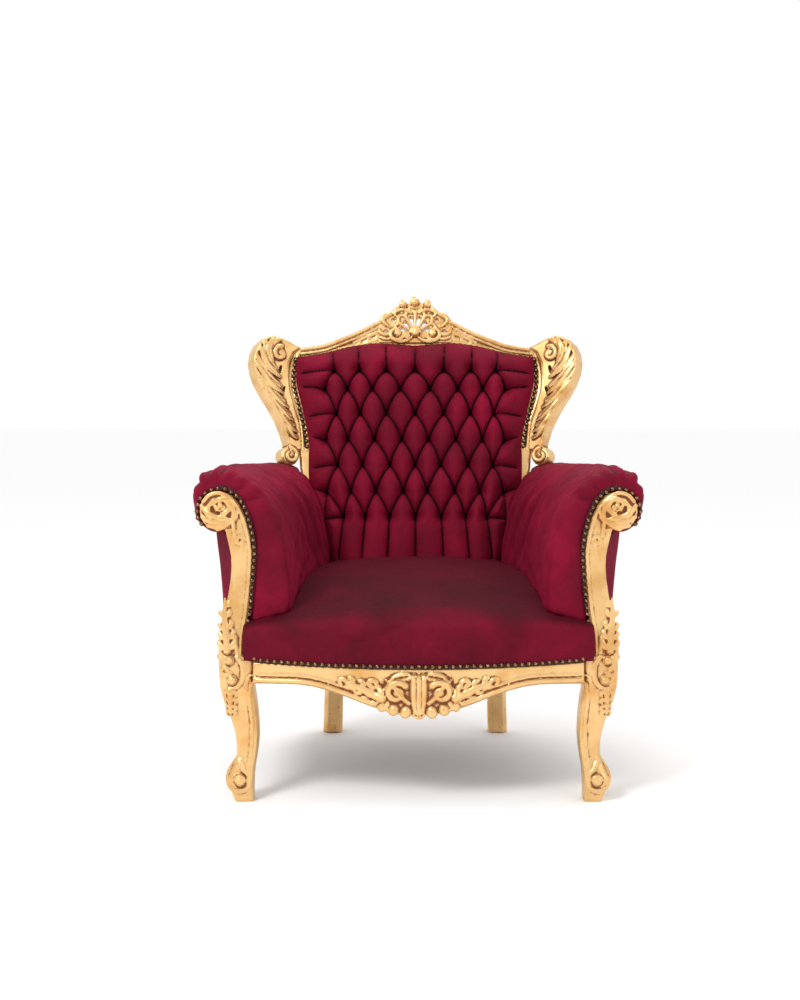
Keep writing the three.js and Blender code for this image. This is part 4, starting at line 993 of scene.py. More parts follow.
class CHAIR_OT_side_rails(bpy.types.Operator):
    """Side rails: sawn to a bulging plan, with a moulding along the lower edge"""

    bl_idname = "chair.side_rails"
    bl_label = "Side rails"

    def execute(self, context):
        blank = cad_shape("side_rail_left")
        line = line_through(SIDE_FACE, 60)
        order = np.argsort(line[:, 1])
        ys = np.linspace(-318, 196, 44)
        x = np.interp(ys, line[order, 1], line[order, 0])
        slope = np.gradient(x, ys)
        out = unit(np.stack([np.ones_like(ys), -slope, np.zeros_like(ys)], axis=1))
        low = along(SIDE_EDGE, ys)
        shapes = [blank]
        for rise, radius in ((8, 4.8), (19, 2.2)):
            shapes.append(stroke(np.stack([x, ys, low + rise], axis=1) - out * 0.6, [radius] * 3, out))
        rail = carve("side_rail", shapes, grain_mm() * 1.15, polish())
        sided(rail, "carved_side_rail", "gilt", "side_rail")
        return {"FINISHED"}


class CHAIR_OT_back_posts(bpy.types.Operator):
    """Back posts: plain swept rear legs, and moulded stiles beside the velvet"""

    bl_idname = "chair.back_posts"
    bl_label = "Back posts"

    def execute(self, context):
        blank = cad_shape("back_post_left")
        front = Panel([blank], BACK_ORIGIN, ACROSS, BACK_UP, BACK_OUT)
        stile = [
            (287, 715), (286, 745), (293, 785), (307, 822), (320, 864), (323, 900), (320, 930), (311, 962)
        ]
        shapes = [blank]
        for inset, radius in ((0, 3.4), (-11, 2.0)):
            shapes.append(
                front.stroke([(x + inset, up_back(z)) for x, z in stile], [2.0, radius, radius, 2.4], 44)
            )
        post = carve("back_post", shapes, grain_mm() * 1.15, polish())
        sided(post, "carved_back_post", "gilt", "back_post")
        return {"FINISHED"}


class CHAIR_OT_crest(bpy.types.Operator):
    """Crest rail with its mouldings and leaves, and the pierced shell cresting over it"""

    bl_idname = "chair.crest"
    bl_label = "Crest"

    def execute(self, context):
        blank = cad_shape("crest_rail")
        front = Panel([blank], BACK_ORIGIN, ACROSS, BACK_UP, BACK_OUT)
        half = []
        xs = np.linspace(88, 294, 34)
        half.append(front.stroke(np.c_[xs, along(CREST_TOP, xs) - 5], [5.0, 5.4, 5.0], 34))
        half.append(front.stroke(np.c_[xs, along(CREST_TOP, xs) - 16], [2.6, 3.0, 2.6], 34))
        xs = np.linspace(0, 294, 44)
        half.append(front.stroke(np.c_[xs, velvet_top(xs) + 11], [2.4, 2.6, 2.4], 44))
        half += front.leaf([(92, 706), (112, 697), (132, 688), (158, 676)], 22, 3, swell=1.1)
        half += front.leaf([(84, 688), (100, 684), (118, 678), (136, 673)], 15, 3)
        shapes = [blank] + both_sides(half)
        rail = carve("carved_crest_rail", shapes, grain_mm(), polish())
        belongs(rail, "gilt", "crest_rail")

        blank = cad_shape("crest_cartouche")
        board = Panel([blank], BACK_ORIGIN - 6 * BACK_OUT, ACROSS, BACK_UP, BACK_OUT)
        root = np.array([0.0, 700.0])

        def ray(angle, r):
            a = math.radians(angle)
            return tuple(root + r * np.array([math.sin(a), math.cos(a)]))

        def flat_stroke(points, radii, count=20, lift=0.0, flat=0.8):
            line = line_through(points, count)
            placed = board.origin + line[:, :1] * ACROSS + line[:, 1:] * BACK_UP + (6 + 6 + lift) * BACK_OUT
            return stroke(placed, radii, BACK_OUT, flat)

        def rosette(x, v, size, turns=1.3, way=1):
            made = [flat_stroke(
                spiral((x, v), size, size * 0.25, turns, 90, way, 26), [size * 0.34, size * 0.26], 26, 8
            )]
            made.append(drop(on_back(x, v, 14), (size * 0.8, size * 0.8, 6), BACK_OUT, BACK_UP))
            return made

        half = []
        for angle in (28.8, 57.6):
            half.append(flat_stroke([ray(angle, 12), ray(angle, 32), ray(angle, 54)], [3.0, 3.4, 5.4], 16, 1))
        rim = [ray(0, 58), ray(8, 60), ray(14.4, 64), ray(21, 60), ray(28.8, 54), ray(36, 58), ray(43.2, 61)]
        rim += [ray(50, 57), ray(57.6, 51), ray(66, 54), ray(74, 54), ray(84, 48)]
        half.append(flat_stroke(rim, [4.6, 4.4, 4.2], 60, 1))
        half.append(flat_stroke(spiral((48, 699), 21, 6, 1.15, 225, 1, 34), [5.4, 5.0, 3.0], 34, 3))
        half.append(drop(on_back(48, 699, 10), (6.5, 6.5, 6), BACK_OUT, BACK_UP))
        half.append(flat_stroke([(8, 690), (22, 680), (40, 677), (58, 680)], [3, 4.8, 4.4, 2.6], 18, 2))
        half.append(
            flat_stroke([(66, 716), (78, 726), (84, 738), (74, 750), (62, 746)], [3, 5, 5, 4, 2], 24, 2)
        )
        half.append(flat_stroke([(50, 762), (62, 752), (76, 742), (92, 732)], [3, 5, 5, 3.4], 18, 1))
        half.append(flat_stroke([(40, 772), (50, 760), (52, 748), (44, 742)], [3, 4.6, 4.2, 2], 18, 3))
        half.append(flat_stroke([(10, 752), (22, 760), (36, 762), (46, 756)], [3, 4.4, 4.4, 2.4], 18, 3))
        half.append(flat_stroke([(64, 700), (76, 696), (88, 700), (94, 712)], [3, 4.8, 4.4, 2.4], 18, 2))
        half.append(flat_stroke([(60, 686), (76, 684), (92, 690)], [3, 4.4, 3.0], 14, 2))
        half += rosette(30, 775, 10, 1.3, -1)
        shapes = [blank] + both_sides(half)
        shapes += rosette(0, 782, 11)
        shapes.append(flat_stroke([ray(0, 12), ray(0, 34), ray(0, 58)], [3.2, 3.6, 5.6], 16, 2))
        for angle in range(-80, 81, 32):
            x, v = ray(angle, 10)
            shapes.append(drop(
                on_back(x, v, 12), (4.6, 8, 5), BACK_OUT,
                BACK_UP * math.cos(math.radians(angle)) + ACROSS * math.sin(math.radians(angle))
            ))
        shapes.append(drop(on_back(0, 699, 14), (9, 9, 7), BACK_OUT, BACK_UP))
        crest = carve("carved_cartouche", shapes, grain_mm() * 0.8, max(1, polish() - 1), (8, 1.4))
        belongs(crest, "gilt", "crest_cartouche")
        return {"FINISHED"}


class CHAIR_OT_ears(bpy.types.Operator):
    """Ears: overlapping leaf locks fall from the rim, between a volute at the crown and one at the foot"""

    bl_idname = "chair.ears"
    bl_label = "Ears"

    def execute(self, context):
        blank = cad_shape("wing_left")
        front = Panel([blank], EAR_ORIGIN, EAR_U, BACK_UP, EAR_OUT)
        outer = line_through(
            [on_ear(x, z) for x, z in (
                (352, 994), (374, 996), (396, 983), (408, 960), (414, 930), (407, 893), (390, 858),
                (366, 821),
                (345, 782), (333, 748), (330, 728),
            )], 100,
        )
        inner = line_through(
            [on_ear(x, z) for x, z in (
                (366, 972), (376, 948), (366, 924), (352, 896), (348, 868), (340, 838), (327, 806),
                (314, 772),
                (308, 745), (306, 728),
            )], 100,
        )
        shapes = [blank]
        locks = 13
        for k in range(locks):
            s = int(99 * k / (locks + 1.6))
            e = min(99, int(s + 10 + 6 * math.sin(math.pi * k / locks)))
            start, end = outer[s], inner[e]
            fall = unit(outer[min(99, s + 6)] - outer[s])
            middle = 0.55 * start + 0.45 * end + fall * 13
            lift = 1.8 * (k % 2)
            shapes.append(front.stroke([start, middle, end], [3.8, 8.2, 7.0, 2.4], 18, lift=lift, flat=0.95))
            strand = [start + fall * 9, middle + fall * 9, end + fall * 5]
            shapes.append(front.stroke(strand, [1.4, 3.0, 2.6, 1.2], 18, lift=lift + 4.0, flat=0.9))
        shapes.append(front.stroke(outer, [3.2, 4.2, 4.2, 3.4], 80, flat=0.8))
        rim = [on_ear(x, z) for x, z in (
            (322, 958), (332, 934), (334, 900), (331, 864), (318, 822), (304, 785), (297, 745), (292, 722)
        )]
        shapes.append(front.stroke(rim, [2.8, 3.4, 3.2, 2.6], 50))
        u, v = on_ear(354, 956)
        shapes.append(front.stroke(spiral((u, v), 20, 5, 1.3, 110, -1, 40), [6.2, 5.4, 3.6], 40, lift=2))
        shapes.append(front.boss((u, v), (5.5, 5.5, 5), lift=2))
        u, v = on_ear(326, 700)
        shapes.append(front.stroke(spiral((u, v), 20, 5, 1.3, 90, 1, 40), [6.4, 5.6, 3.6], 40, lift=1.5))
        shapes.append(front.boss((u, v), (6.5, 6.5, 6), lift=1.5))
        rear = Panel([blank], EAR_ORIGIN, EAR_U, BACK_UP, -EAR_OUT)
        for k in range(2, locks, 2):
            s = int(99 * k / (locks + 1.6))
            half = 0.5 * (outer[s] + inner[min(99, s + 16)])
            shapes.append(rear.stroke([outer[s], half, inner[min(99, s + 20)]], [2, 4, 2], 14))
        ear = carve("ear", shapes, grain_mm() * 0.9, max(1, polish() - 1), (14, 1.3))
        sided(ear, "carved_ear", "gilt", "wing")
        return {"FINISHED"}


# ----------------------------------------------------------------------------------------------------------
# Upholstery
# ----------------------------------------------------------------------------------------------------------

PIT_ROWS = [
    # distance up the back, and how far each pit lies from the middle
    (597, (0, 73, 142, 206)),
    (548, (38, 109, 172, 230)),
    (485, (0, 73, 140, 200)),
    (417, (34, 103, 170, 227)),
    (351, (0, 64, 133, 196)),
    (283, (30, 99, 162, 223)),
    (217, (0, 65, 125, 179)),
]


def pit_row(offsets):
    return sorted({side * x for x in offsets for side in (-1, 1)})


def pleat(top, low, bow, count=26):
    """A fold from one pit to the next below it, bowed outwards over the cushion between them."""
    top, low = np.array(top, float), np.array(low, float)
    outward = np.sign(low[0] - top[0])
    bend = 0.5 * (top + low) + np.array([outward * bow, abs(bow) * 0.7])
    t = np.linspace(0, 1, count)[:, None]
    return (1 - t) ** 2 * top + 2 * t * (1 - t) * bend + t**2 * low


def half_width(level):
    rows = np.array(BACK_SIDES, float)
    return along(rows[:, :2], level)


def tufting_lines():
    """Buttons and folds of the inside back, as flat points with how strong each is."""
    pits, folds = [], []
    for i, (level, offsets) in enumerate(PIT_ROWS):
        row = pit_row(offsets)
        pits += [(x, level) for x in row]
        if i + 1 < len(PIT_ROWS):
            lower, below = PIT_ROWS[i + 1]
            for x in row:
                for y in pit_row(below):
                    if 12 < abs(y - x) < 50:
                        folds.append((pleat((x, level), (y, lower), 4.5), 1.0))
        edge = half_width(level)
        for side in (-1, 1):
            x = side * max(row)
            rise = 10 if i % 2 else -6
            folds.append((np.linspace((x, level), (side * (edge - 4), level + rise), 24), 0.75))
    top_level, top_row = PIT_ROWS[0]
    for x in pit_row(top_row):
        folds.append((np.linspace((x, top_level), (x * 1.03, float(velvet_top(x)) + 6), 20), 0.8))
    low_level, low_row = PIT_ROWS[-1]
    for x in pit_row(low_row):
        folds.append((line_through([(x, low_level), (x * 1.04, 160), (x * 1.08, 100)], 30), 0.95))
    for side in (-1, 1):
        folds.append((line_through([(side * 223, 283), (side * 228, 200), (side * 226, 100)], 30), 0.9))
    return pits, folds


def nearest(points, targets):
    """Distance from each point to the nearest target, and that target's number."""
    tree = KDTree(len(targets))
    for i, t in enumerate(targets):
        tree.insert((t[0], t[1], t[2] if len(t) > 2 else 0.0), i)
    tree.balance()
    found = [tree.find((p[0], p[1], p[2] if len(p) > 2 else 0.0)) for p in points]
    return np.array([f[2] for f in found]), np.array([f[1] for f in found])


class CHAIR_OT_inside_back(bpy.types.Operator):
    """Inside back: deep-tufted velvet in bowed diamonds over its pad, fluted down to the seat"""

    bl_idname = "chair.inside_back"
    bl_label = "Inside back"

    def execute(self, context):
        settings = context.scene.chair_upholstery
        columns, rows = 210, 204
        low, high = 100.0, 626.0
        levels = np.linspace(low, high, rows)
        share = np.linspace(-1, 1, columns)
        share = np.sign(share) * (1 - (1 - np.abs(share)) ** 1.12)
        half = half_width(levels)
        x = share[None, :] * half[:, None]
        lift = ((levels - low) / (high - low))[:, None] ** 4 * (velvet_top(x) + 7 - high)
        v = levels[:, None] + lift
        stand = along([(a, c) for a, _, c in BACK_SIDES], levels)[:, None]
        fade = 1 - np.maximum(0, (levels - 540) / (high - 540))[:, None] ** 4
        body = 8 + (stand - 8) * (1 - np.abs(share)[None, :] ** 6) * fade
        wrap = 26 * smoothstep((300 - levels) / 200)[:, None] * share[None, :] ** 2
        pits, folds = tufting_lines()
        flat = np.stack([x.ravel(), v.ravel()], axis=1)
        samples = np.vstack([line for line, _ in folds])
        weights = np.concatenate([np.full(len(line), w) for line, w in folds])
        from_fold, which = nearest(flat, samples)
        from_pit, _ = nearest(flat, pits)
        deep = settings.pit_depth * 1000 * np.exp(-((from_pit / 13.0) ** 1.5))
        fold = settings.pleat_depth * 1000 * weights[which]
        t = np.clip(from_fold / 31.0, 0, 1)
        dome = np.sqrt(1 - (1 - t) ** 2)
        crease = 4.0 * np.exp(-((from_fold / 2.2) ** 2))
        angle = np.arctan2(flat[:, 1], flat[:, 0])
        height = 5.0 - (fold + 5.0) * (1 - dome) - crease - deep
        height -= 0.8 * np.exp(-from_pit / 20.0) * np.cos(9 * angle + flat[:, 0] * 0.35) * (from_pit < 45)
        edge = smoothstep((1 - np.abs(share)) * half[:, None] / 26.0)
        tuck = smoothstep((velvet_top(x) + 9 - v) / 16.0)
        relief = height.reshape(x.shape) * edge * tuck
        out = body + wrap + np.maximum(relief, -body + 3.0)
        points = on_back(x.ravel(), v.ravel(), out.ravel())
        floor = on_back(x.ravel(), v.ravel(), np.full(x.size, -6.0))
        count = x.size
        index = np.arange(count).reshape(rows, columns)
        quads = np.stack(
            [index[:-1, :-1], index[:-1, 1:], index[1:, 1:], index[1:, :-1]], axis=-1
        ).reshape(-1, 4)
        rim = np.concatenate([index[0, :], index[1:, -1], index[-1, -2::-1], index[-2:0:-1, 0]])
        faces = [tuple(q) for q in quads.tolist()]
        ring = rim.tolist()
        base = {r: count + i for i, r in enumerate(ring)}
        for a, b in zip(ring, ring[1:] + ring[:1]):
            faces.append((b, a, base[a], base[b]))
        faces.append(tuple(base[r] for r in reversed(ring)))
        obj = make_object("tufted_inside_back", (np.vstack([points, floor[rim]]), faces), "velvet")
        # The hollows marked here are painted darker in the velvet, as shade in the pleats and pits.
        mark_hollows(obj.data, 26, 7.0)
        belongs(obj, "velvet", "back_cover", "back_pad")
        return {"FINISHED"}


def smoothstep(t):
    t = np.clip(t, 0, 1)
    return t * t * (3 - 2 * t)


def settle(obj, frames, pressure, cap, hold):
    """Lets the cover settle as inflated cloth, held where it is tacked, then keeps the shape it took."""
    before = coordinates(obj.data)
    group = obj.vertex_groups.new(name="tacked")
    for step in range(11):
        chosen = np.nonzero(np.round(hold * 10).astype(int) == step)[0]
        if len(chosen):
            group.add(chosen.tolist(), step / 10, "REPLACE")
    modifier = obj.modifiers.new("settle", "CLOTH")
    cloth = modifier.settings
    cloth.quality = 4
    cloth.mass = 0.3
    cloth.tension_stiffness = cloth.compression_stiffness = 12
    cloth.shear_stiffness = 4
    cloth.bending_stiffness = 0.4
    cloth.use_pressure = True
    cloth.uniform_pressure_force = pressure
    cloth.effector_weights.gravity = 0.0
    cloth.vertex_group_mass = "tacked"
    cloth.pin_stiffness = 2.0
    modifier.point_cache.frame_start = 1
    modifier.point_cache.frame_end = frames
    scene = bpy.context.scene
    for number in range(1, frames + 1):
        scene.frame_set(number)
    evaluated = obj.evaluated_get(bpy.context.evaluated_depsgraph_get())
    after = coordinates(evaluated.data)
    obj.modifiers.clear()
    obj.vertex_groups.clear()
    scene.frame_set(1)
    move = after - before
    size = np.linalg.norm(move, axis=1, keepdims=True)
    set_points(obj.data, before + move * np.minimum(1, cap / np.maximum(size, 1e-9)))
    return obj


def creases(place, lines):
    """How far a set of drawn-in folds sinks each point. A line is (points, width, depth)."""
    total = np.zeros(len(place))
    for points, width, depth in lines:
        line = line_through(points, 40)
        near = np.full(len(place), 1e9)
        share = np.zeros(len(place))
        close = np.linalg.norm(place - line.mean(axis=0), axis=1) < length_of(line) * 0.5 + 60
        chosen = np.nonzero(close)[0]
        gap = np.linalg.norm(place[chosen][:, None] - line[None], axis=2)
        near[chosen] = gap.min(axis=1)
        share[chosen] = gap.argmin(axis=1) / 39.0
        strength = np.sin(np.pi * np.clip(0.08 + 0.84 * share, 0, 1)) ** 0.6
        groove = np.exp(-((near / width) ** 2))
        ridge = np.exp(-(((near - 2.0 * width) / (1.1 * width)) ** 2))
        total += depth * strength * (groove - 0.45 * ridge)
    return total


def waves(place, length, seed):
    """A smooth unevenness of about the given wavelength, the same at every run."""
    rng = np.random.default_rng(seed)
    total = np.zeros(len(place))
    for _ in range(14):
        way = unit(rng.normal(size=3))
        total += np.cos(place @ way * (2 * math.pi / (length * rng.uniform(0.7, 1.5))) + rng.uniform(0, 6.28))
    return total / 5.0


def stuff(name, nodes, voxel, easing, material="velvet"):
    """A cover and the pad under it as one closed form, its facets eased away."""
    obj = make_object(name, together([cad_shape(n) for n in nodes]), material)
    apply_modifier(obj, "REMESH", mode="VOXEL", voxel_size=voxel * 0.001, adaptivity=0.0)
    outer_shell(obj.data)
    set_points(obj.data, relaxed(coordinates(obj.data), edge_pairs(obj.data), easing))
    return obj


def sink(obj, depth):
    co, no = coordinates(obj.data), normals(obj.data)
    set_points(obj.data, co - no * depth[:, None] * 0.001)


SEAT_HALF = [
    (-460, 366), (-344, 366), (-326, 318), (-312, 276), (-220, 262), (-60, 252), (60, 232), (170, 204),
    (200, 194)
]


def seat_height(x, y):
    """The crowned top of the seat: fullest behind the middle, lower at the front and beside the arms."""
    t = np.clip((y + 400) / 470, 0, 1)
    return 404 + 52 * np.sin(np.pi / 2 * np.minimum(1, t * 1.15)) - 20 * (x / 270) ** 2


def closed_sheet(points, floor):
    """A grid of points closed underneath at one height."""
    rows, columns, _ = points.shape
    count = rows * columns
    index = np.arange(count).reshape(rows, columns)
    quads = np.stack([index[:-1, :-1], index[:-1, 1:], index[1:, 1:], index[1:, :-1]], axis=-1).reshape(-1, 4)
    ring = np.concatenate([index[0, :], index[1:, -1], index[-1, -2::-1], index[-2:0:-1, 0]])
    walls = np.stack([np.roll(ring, -1), ring, ring + count, np.roll(ring, -1) + count], axis=-1)
    under = points.reshape(-1, 3).copy()
    under[:, 2] = np.minimum(under[:, 2], floor)
    under[:, 1] += np.where(under[:, 1] < -330, 4.0, 0.0)
    faces = np.vstack([quads, walls, quads[:, ::-1] + count])
    return np.vstack([points.reshape(-1, 3), under]), [tuple(f) for f in faces.tolist()]


class CHAIR_OT_seat(bpy.types.Operator):
    """Seat: velvet pulled over a crowned sprung pad and nailed along the front rail"""

    bl_idname = "chair.seat"
    bl_label = "Seat"

    def execute(self, context):
        columns, rows = 128, 112
        share = np.linspace(-1, 1, columns)
        share = np.sign(share) * (1 - (1 - np.abs(share)) ** 1.25)
        profile = line_through(
            [
                (0.4, 0.0), (-3.0, 0.10), (-6.5, 0.30), (-7.0, 0.55), (-3.0, 0.78), (8, 0.92), (26, 0.99),
                (46, 1.0)
            ], 40
        )  # distance behind the rail's face, and share of the height from the nail line to the seat's edge
        points = np.zeros((rows, columns, 3))
        for r in range(rows):
            if r < 40:
                behind, rise = profile[r]
                x = share * (366 - 1.5 * (1 - rise))
                y = rail_face(x) + behind
                edge = seat_height(x, rail_face(x) + 46)
                points[r] = np.stack([x, y, nail_line(x) + 1.0 + rise * (edge - nail_line(x) - 1.0)], axis=1)
                continue
            t = (r - 39) / (rows - 40)
            start = rail_face(share * 366) + 46
            y = start + t * (190 - start)
            x = share * np.interp(y, *zip(*SEAT_HALF))
            points[r] = np.stack([x, y, seat_height(x, y)], axis=1)
        place = points.reshape(-1, 3)
        low_front = np.exp(-(((place[:, 2] - 312) / 22) ** 2)) * (place[:, 1] < rail_face(place[:, 0]) + 30)
        obj = make_object("sprung_seat", closed_sheet(points, 318.0), "seat_velvet")
        hold = 1 - smoothstep((place[:, 2] - nail_line(place[:, 0])) / 16)
        hold = np.maximum(
            hold, smoothstep((np.abs(place[:, 0]) - np.interp(place[:, 1], *zip(*SEAT_HALF)) + 14) / 12)
        )
        hold = np.maximum(hold, smoothstep((place[:, 1] - 160) / 20))
        hold = np.concatenate([hold, np.ones(len(obj.data.vertices) - len(place))])
        settle(obj, 12, 2.5, 0.006, hold)
        apply_modifier(obj, "SUBSURF", levels=1, render_levels=1)
        place = from_row(coordinates(obj.data))
        top = smoothstep((place[:, 2] - 330) / 40)
        low_front = np.exp(-(((place[:, 2] - 314) / 20) ** 2)) * (place[:, 1] < rail_face(place[:, 0]) + 30)
        gathers = low_front * 0.7 * np.sin(place[:, 0] / 5.2 + 2.0 * np.sin(place[:, 0] / 31))
        lines = [
            ([(-200, -415, 326), (-150, -424, 340), (-90, -430, 352), (-30, -424, 372)], 6, 2.0),
            ([(-120, -424, 318), (-70, -430, 330), (-10, -434, 340)], 5, 1.6),
            ([(-250, -405, 322), (-225, -410, 340), (-200, -400, 366)], 6, 1.4),
            ([(110, -424, 322), (70, -430, 338), (30, -428, 358)], 6, 1.4),
            ([(-352, -392, 330), (-330, -396, 352), (-296, -370, 384)], 7, 2.2),
            ([(352, -392, 330), (330, -396, 352), (296, -370, 384)], 7, 2.2),
        ]
        folds = [(points, width * 1.2, depth * 1.8) for points, width, depth in lines]
        sink(obj, creases(place, folds) + gathers + top * 1.2 * waves(place, 95, 5))
        mark_hollows(obj.data, 14, 5.0)
        belongs(obj, "velvet", "seat_cover", "seat_pad")
        return {"FINISHED"}


class CHAIR_OT_arms(bpy.types.Operator):
    """Arms: velvet rolled over stuffed arms and gathered round the carved scroll"""

    bl_idname = "chair.arms"
    bl_label = "Arms"

    def execute(self, context):
        obj = stuff("arm", ("arm_cover_left", "arm_pad_left", "arm_rail_left"), 6.4, 7)
        place = from_row(coordinates(obj.data))
        cx, cz, radius = SCROLL
        ring = np.hypot(place[:, 0] - cx, place[:, 2] - cz)
        hold = 1 - smoothstep((place[:, 2] - 470) / 90)
        hold = np.maximum(hold, (1 - smoothstep((ring - radius - 4) / 14)) * (place[:, 1] < -330))
        hold = np.maximum(hold, smoothstep((place[:, 1] - 200) / 40))
        hold = np.maximum(hold, smoothstep((place[:, 0] - 410) / 20) * (place[:, 2] < 560))
        settle(obj, 14, 3.0, 0.006, hold)
        apply_modifier(obj, "SUBSURF", levels=1, render_levels=1)
        place = from_row(coordinates(obj.data))
        lines = [
            ([(378, -378, 652), (350, -372, 672), (318, -330, 690), (300, -250, 692)], 6, 2.6),
            ([(396, -380, 662), (384, -374, 684), (370, -330, 699), (356, -240, 700)], 6, 2.8),
            ([(412, -380, 664), (410, -374, 688), (408, -320, 700), (400, -220, 701)], 5.5, 2.8),
            ([(430, -380, 662), (437, -374, 684), (440, -320, 694), (436, -240, 694)], 5.5, 2.6),
            ([(446, -380, 650), (458, -374, 664), (464, -330, 668), (462, -260, 664)], 5.5, 2.2),
            ([(362, -376, 628), (330, -374, 640), (290, -360, 648), (272, -300, 630)], 6.5, 2.2),
            ([(352, -376, 585), (320, -376, 592), (285, -372, 596), (266, -330, 570)], 10, 0.9),
            ([(346, -376, 500), (318, -376, 478), (288, -372, 440), (270, -350, 412)], 12, 0.8),
            ([(268, -330, 420), (262, -250, 470), (268, -150, 520), (284, -60, 580)], 12, 2.0),
            ([(264, -290, 400), (256, -200, 430), (252, -100, 455), (244, 0, 470)], 10, 1.8),
            ([(300, -120, 690), (282, -60, 640), (262, -10, 560), (250, 20, 480)], 12, 2.6),
            ([(300, 10, 690), (270, 50, 640), (246, 80, 560), (232, 100, 480)], 10, 3.0),
            ([(270, 90, 680), (246, 120, 640), (226, 150, 560), (214, 160, 480)], 9, 3.2),
        ]
        folds = [(points, width * 1.35, depth * 2.3) for points, width, depth in lines]
        sink(obj, creases(place, folds) + 1.8 * waves(place, 70, 11))
        mark_hollows(obj.data, 14, 4.0)
        left, right = sided(obj, "padded_arm", "velvet", "arm_cover", "arm_pad")
        return {"FINISHED"}


class CHAIR_OT_outside_covers(bpy.types.Operator):
    """Outside arms and outside back: velvet drawn flat over boards"""

    bl_idname = "chair.outside_covers"
    bl_label = "Outside covers"

    def execute(self, context):
        arm = stuff("outside_arm", ("outside_arm_cover_left",), 3.0, 5)
        sink(arm, 0.5 * waves(from_row(coordinates(arm.data)), 80, 3))
        mark_hollows(arm.data, 12, 4.0)
        for piece in sided(arm, "covered_outside_arm", "velvet", "outside_arm_cover"):
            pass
        back = stuff("covered_outside_back", ("outside_back_cover",), 2.6, 4)
        place = from_row(coordinates(back.data))
        sink(back, 0.5 * waves(place, 110, 8))
        mark_hollows(back.data, 12, 4.0)
        belongs(back, "velvet", "outside_back_cover")
        return {"FINISHED"}


# ----------------------------------------------------------------------------------------------------------
# Nails
# ----------------------------------------------------------------------------------------------------------


def nail_heads(name, places, outs, width=None):
    """Domed heads standing on their places, each facing its own way."""
    width = width or bpy.context.scene.chair_upholstery.nail_width * 1000.0
    radius = width / 2
    rings = [(1.0, 0.0), (0.97, 0.28), (0.74, 0.6), (0.4, 0.8)]
    sides = 10
    points, faces, crowns = [], [], []
    rng = np.random.default_rng(21)
    for spot, out in zip(places, outs):
        out = unit(np.asarray(out, float))
        aside = unit(np.cross(out, UP if abs(out[2]) < 0.9 else ACROSS))
        up = np.cross(aside, out)
        spot = np.asarray(spot, float) + aside * rng.normal(0, 0.25) + up * rng.normal(0, 0.25)
        tilt = rng.normal(0, 0.05, 2)
        facing = unit(out + aside * tilt[0] + up * tilt[1])
        start = len(points)
        points.append(spot - out * 1.6)
        crowns.append(0.0)
        for share, rise in rings:
            for s in range(sides):
                a = 2 * math.pi * s / sides
                points.append(spot + radius * share * (
                    math.cos(a) * aside + math.sin(a) * up
                ) + facing * radius * rise)
                crowns.append(rise)
        points.append(spot + facing * radius * 0.86)
        crowns.append(1.0)
        for s in range(sides):
            t = (s + 1) % sides
            faces.append((start, start + 1 + t, start + 1 + s))
            for r in range(len(rings) - 1):
                a = start + 1 + r * sides
                faces.append((a + s, a + t, a + sides + t, a + sides + s))
            a = start + 1 + (len(rings) - 1) * sides
            faces.append((a + s, a + t, len(points) - 1))
    obj = make_object(name, (np.array(points), faces), "bronze")
    obj.data.attributes.new("crown", "FLOAT", "POINT").data.foreach_set("value", np.array(crowns, np.float32))
    belongs(obj, "bronze")
    return obj


def spaced(line):
    pitch = bpy.context.scene.chair_upholstery.nail_pitch * 1000.0
    line = line_through(line, 300)
    return resample(line, max(2, int(round(length_of(line) / pitch)) + 1))


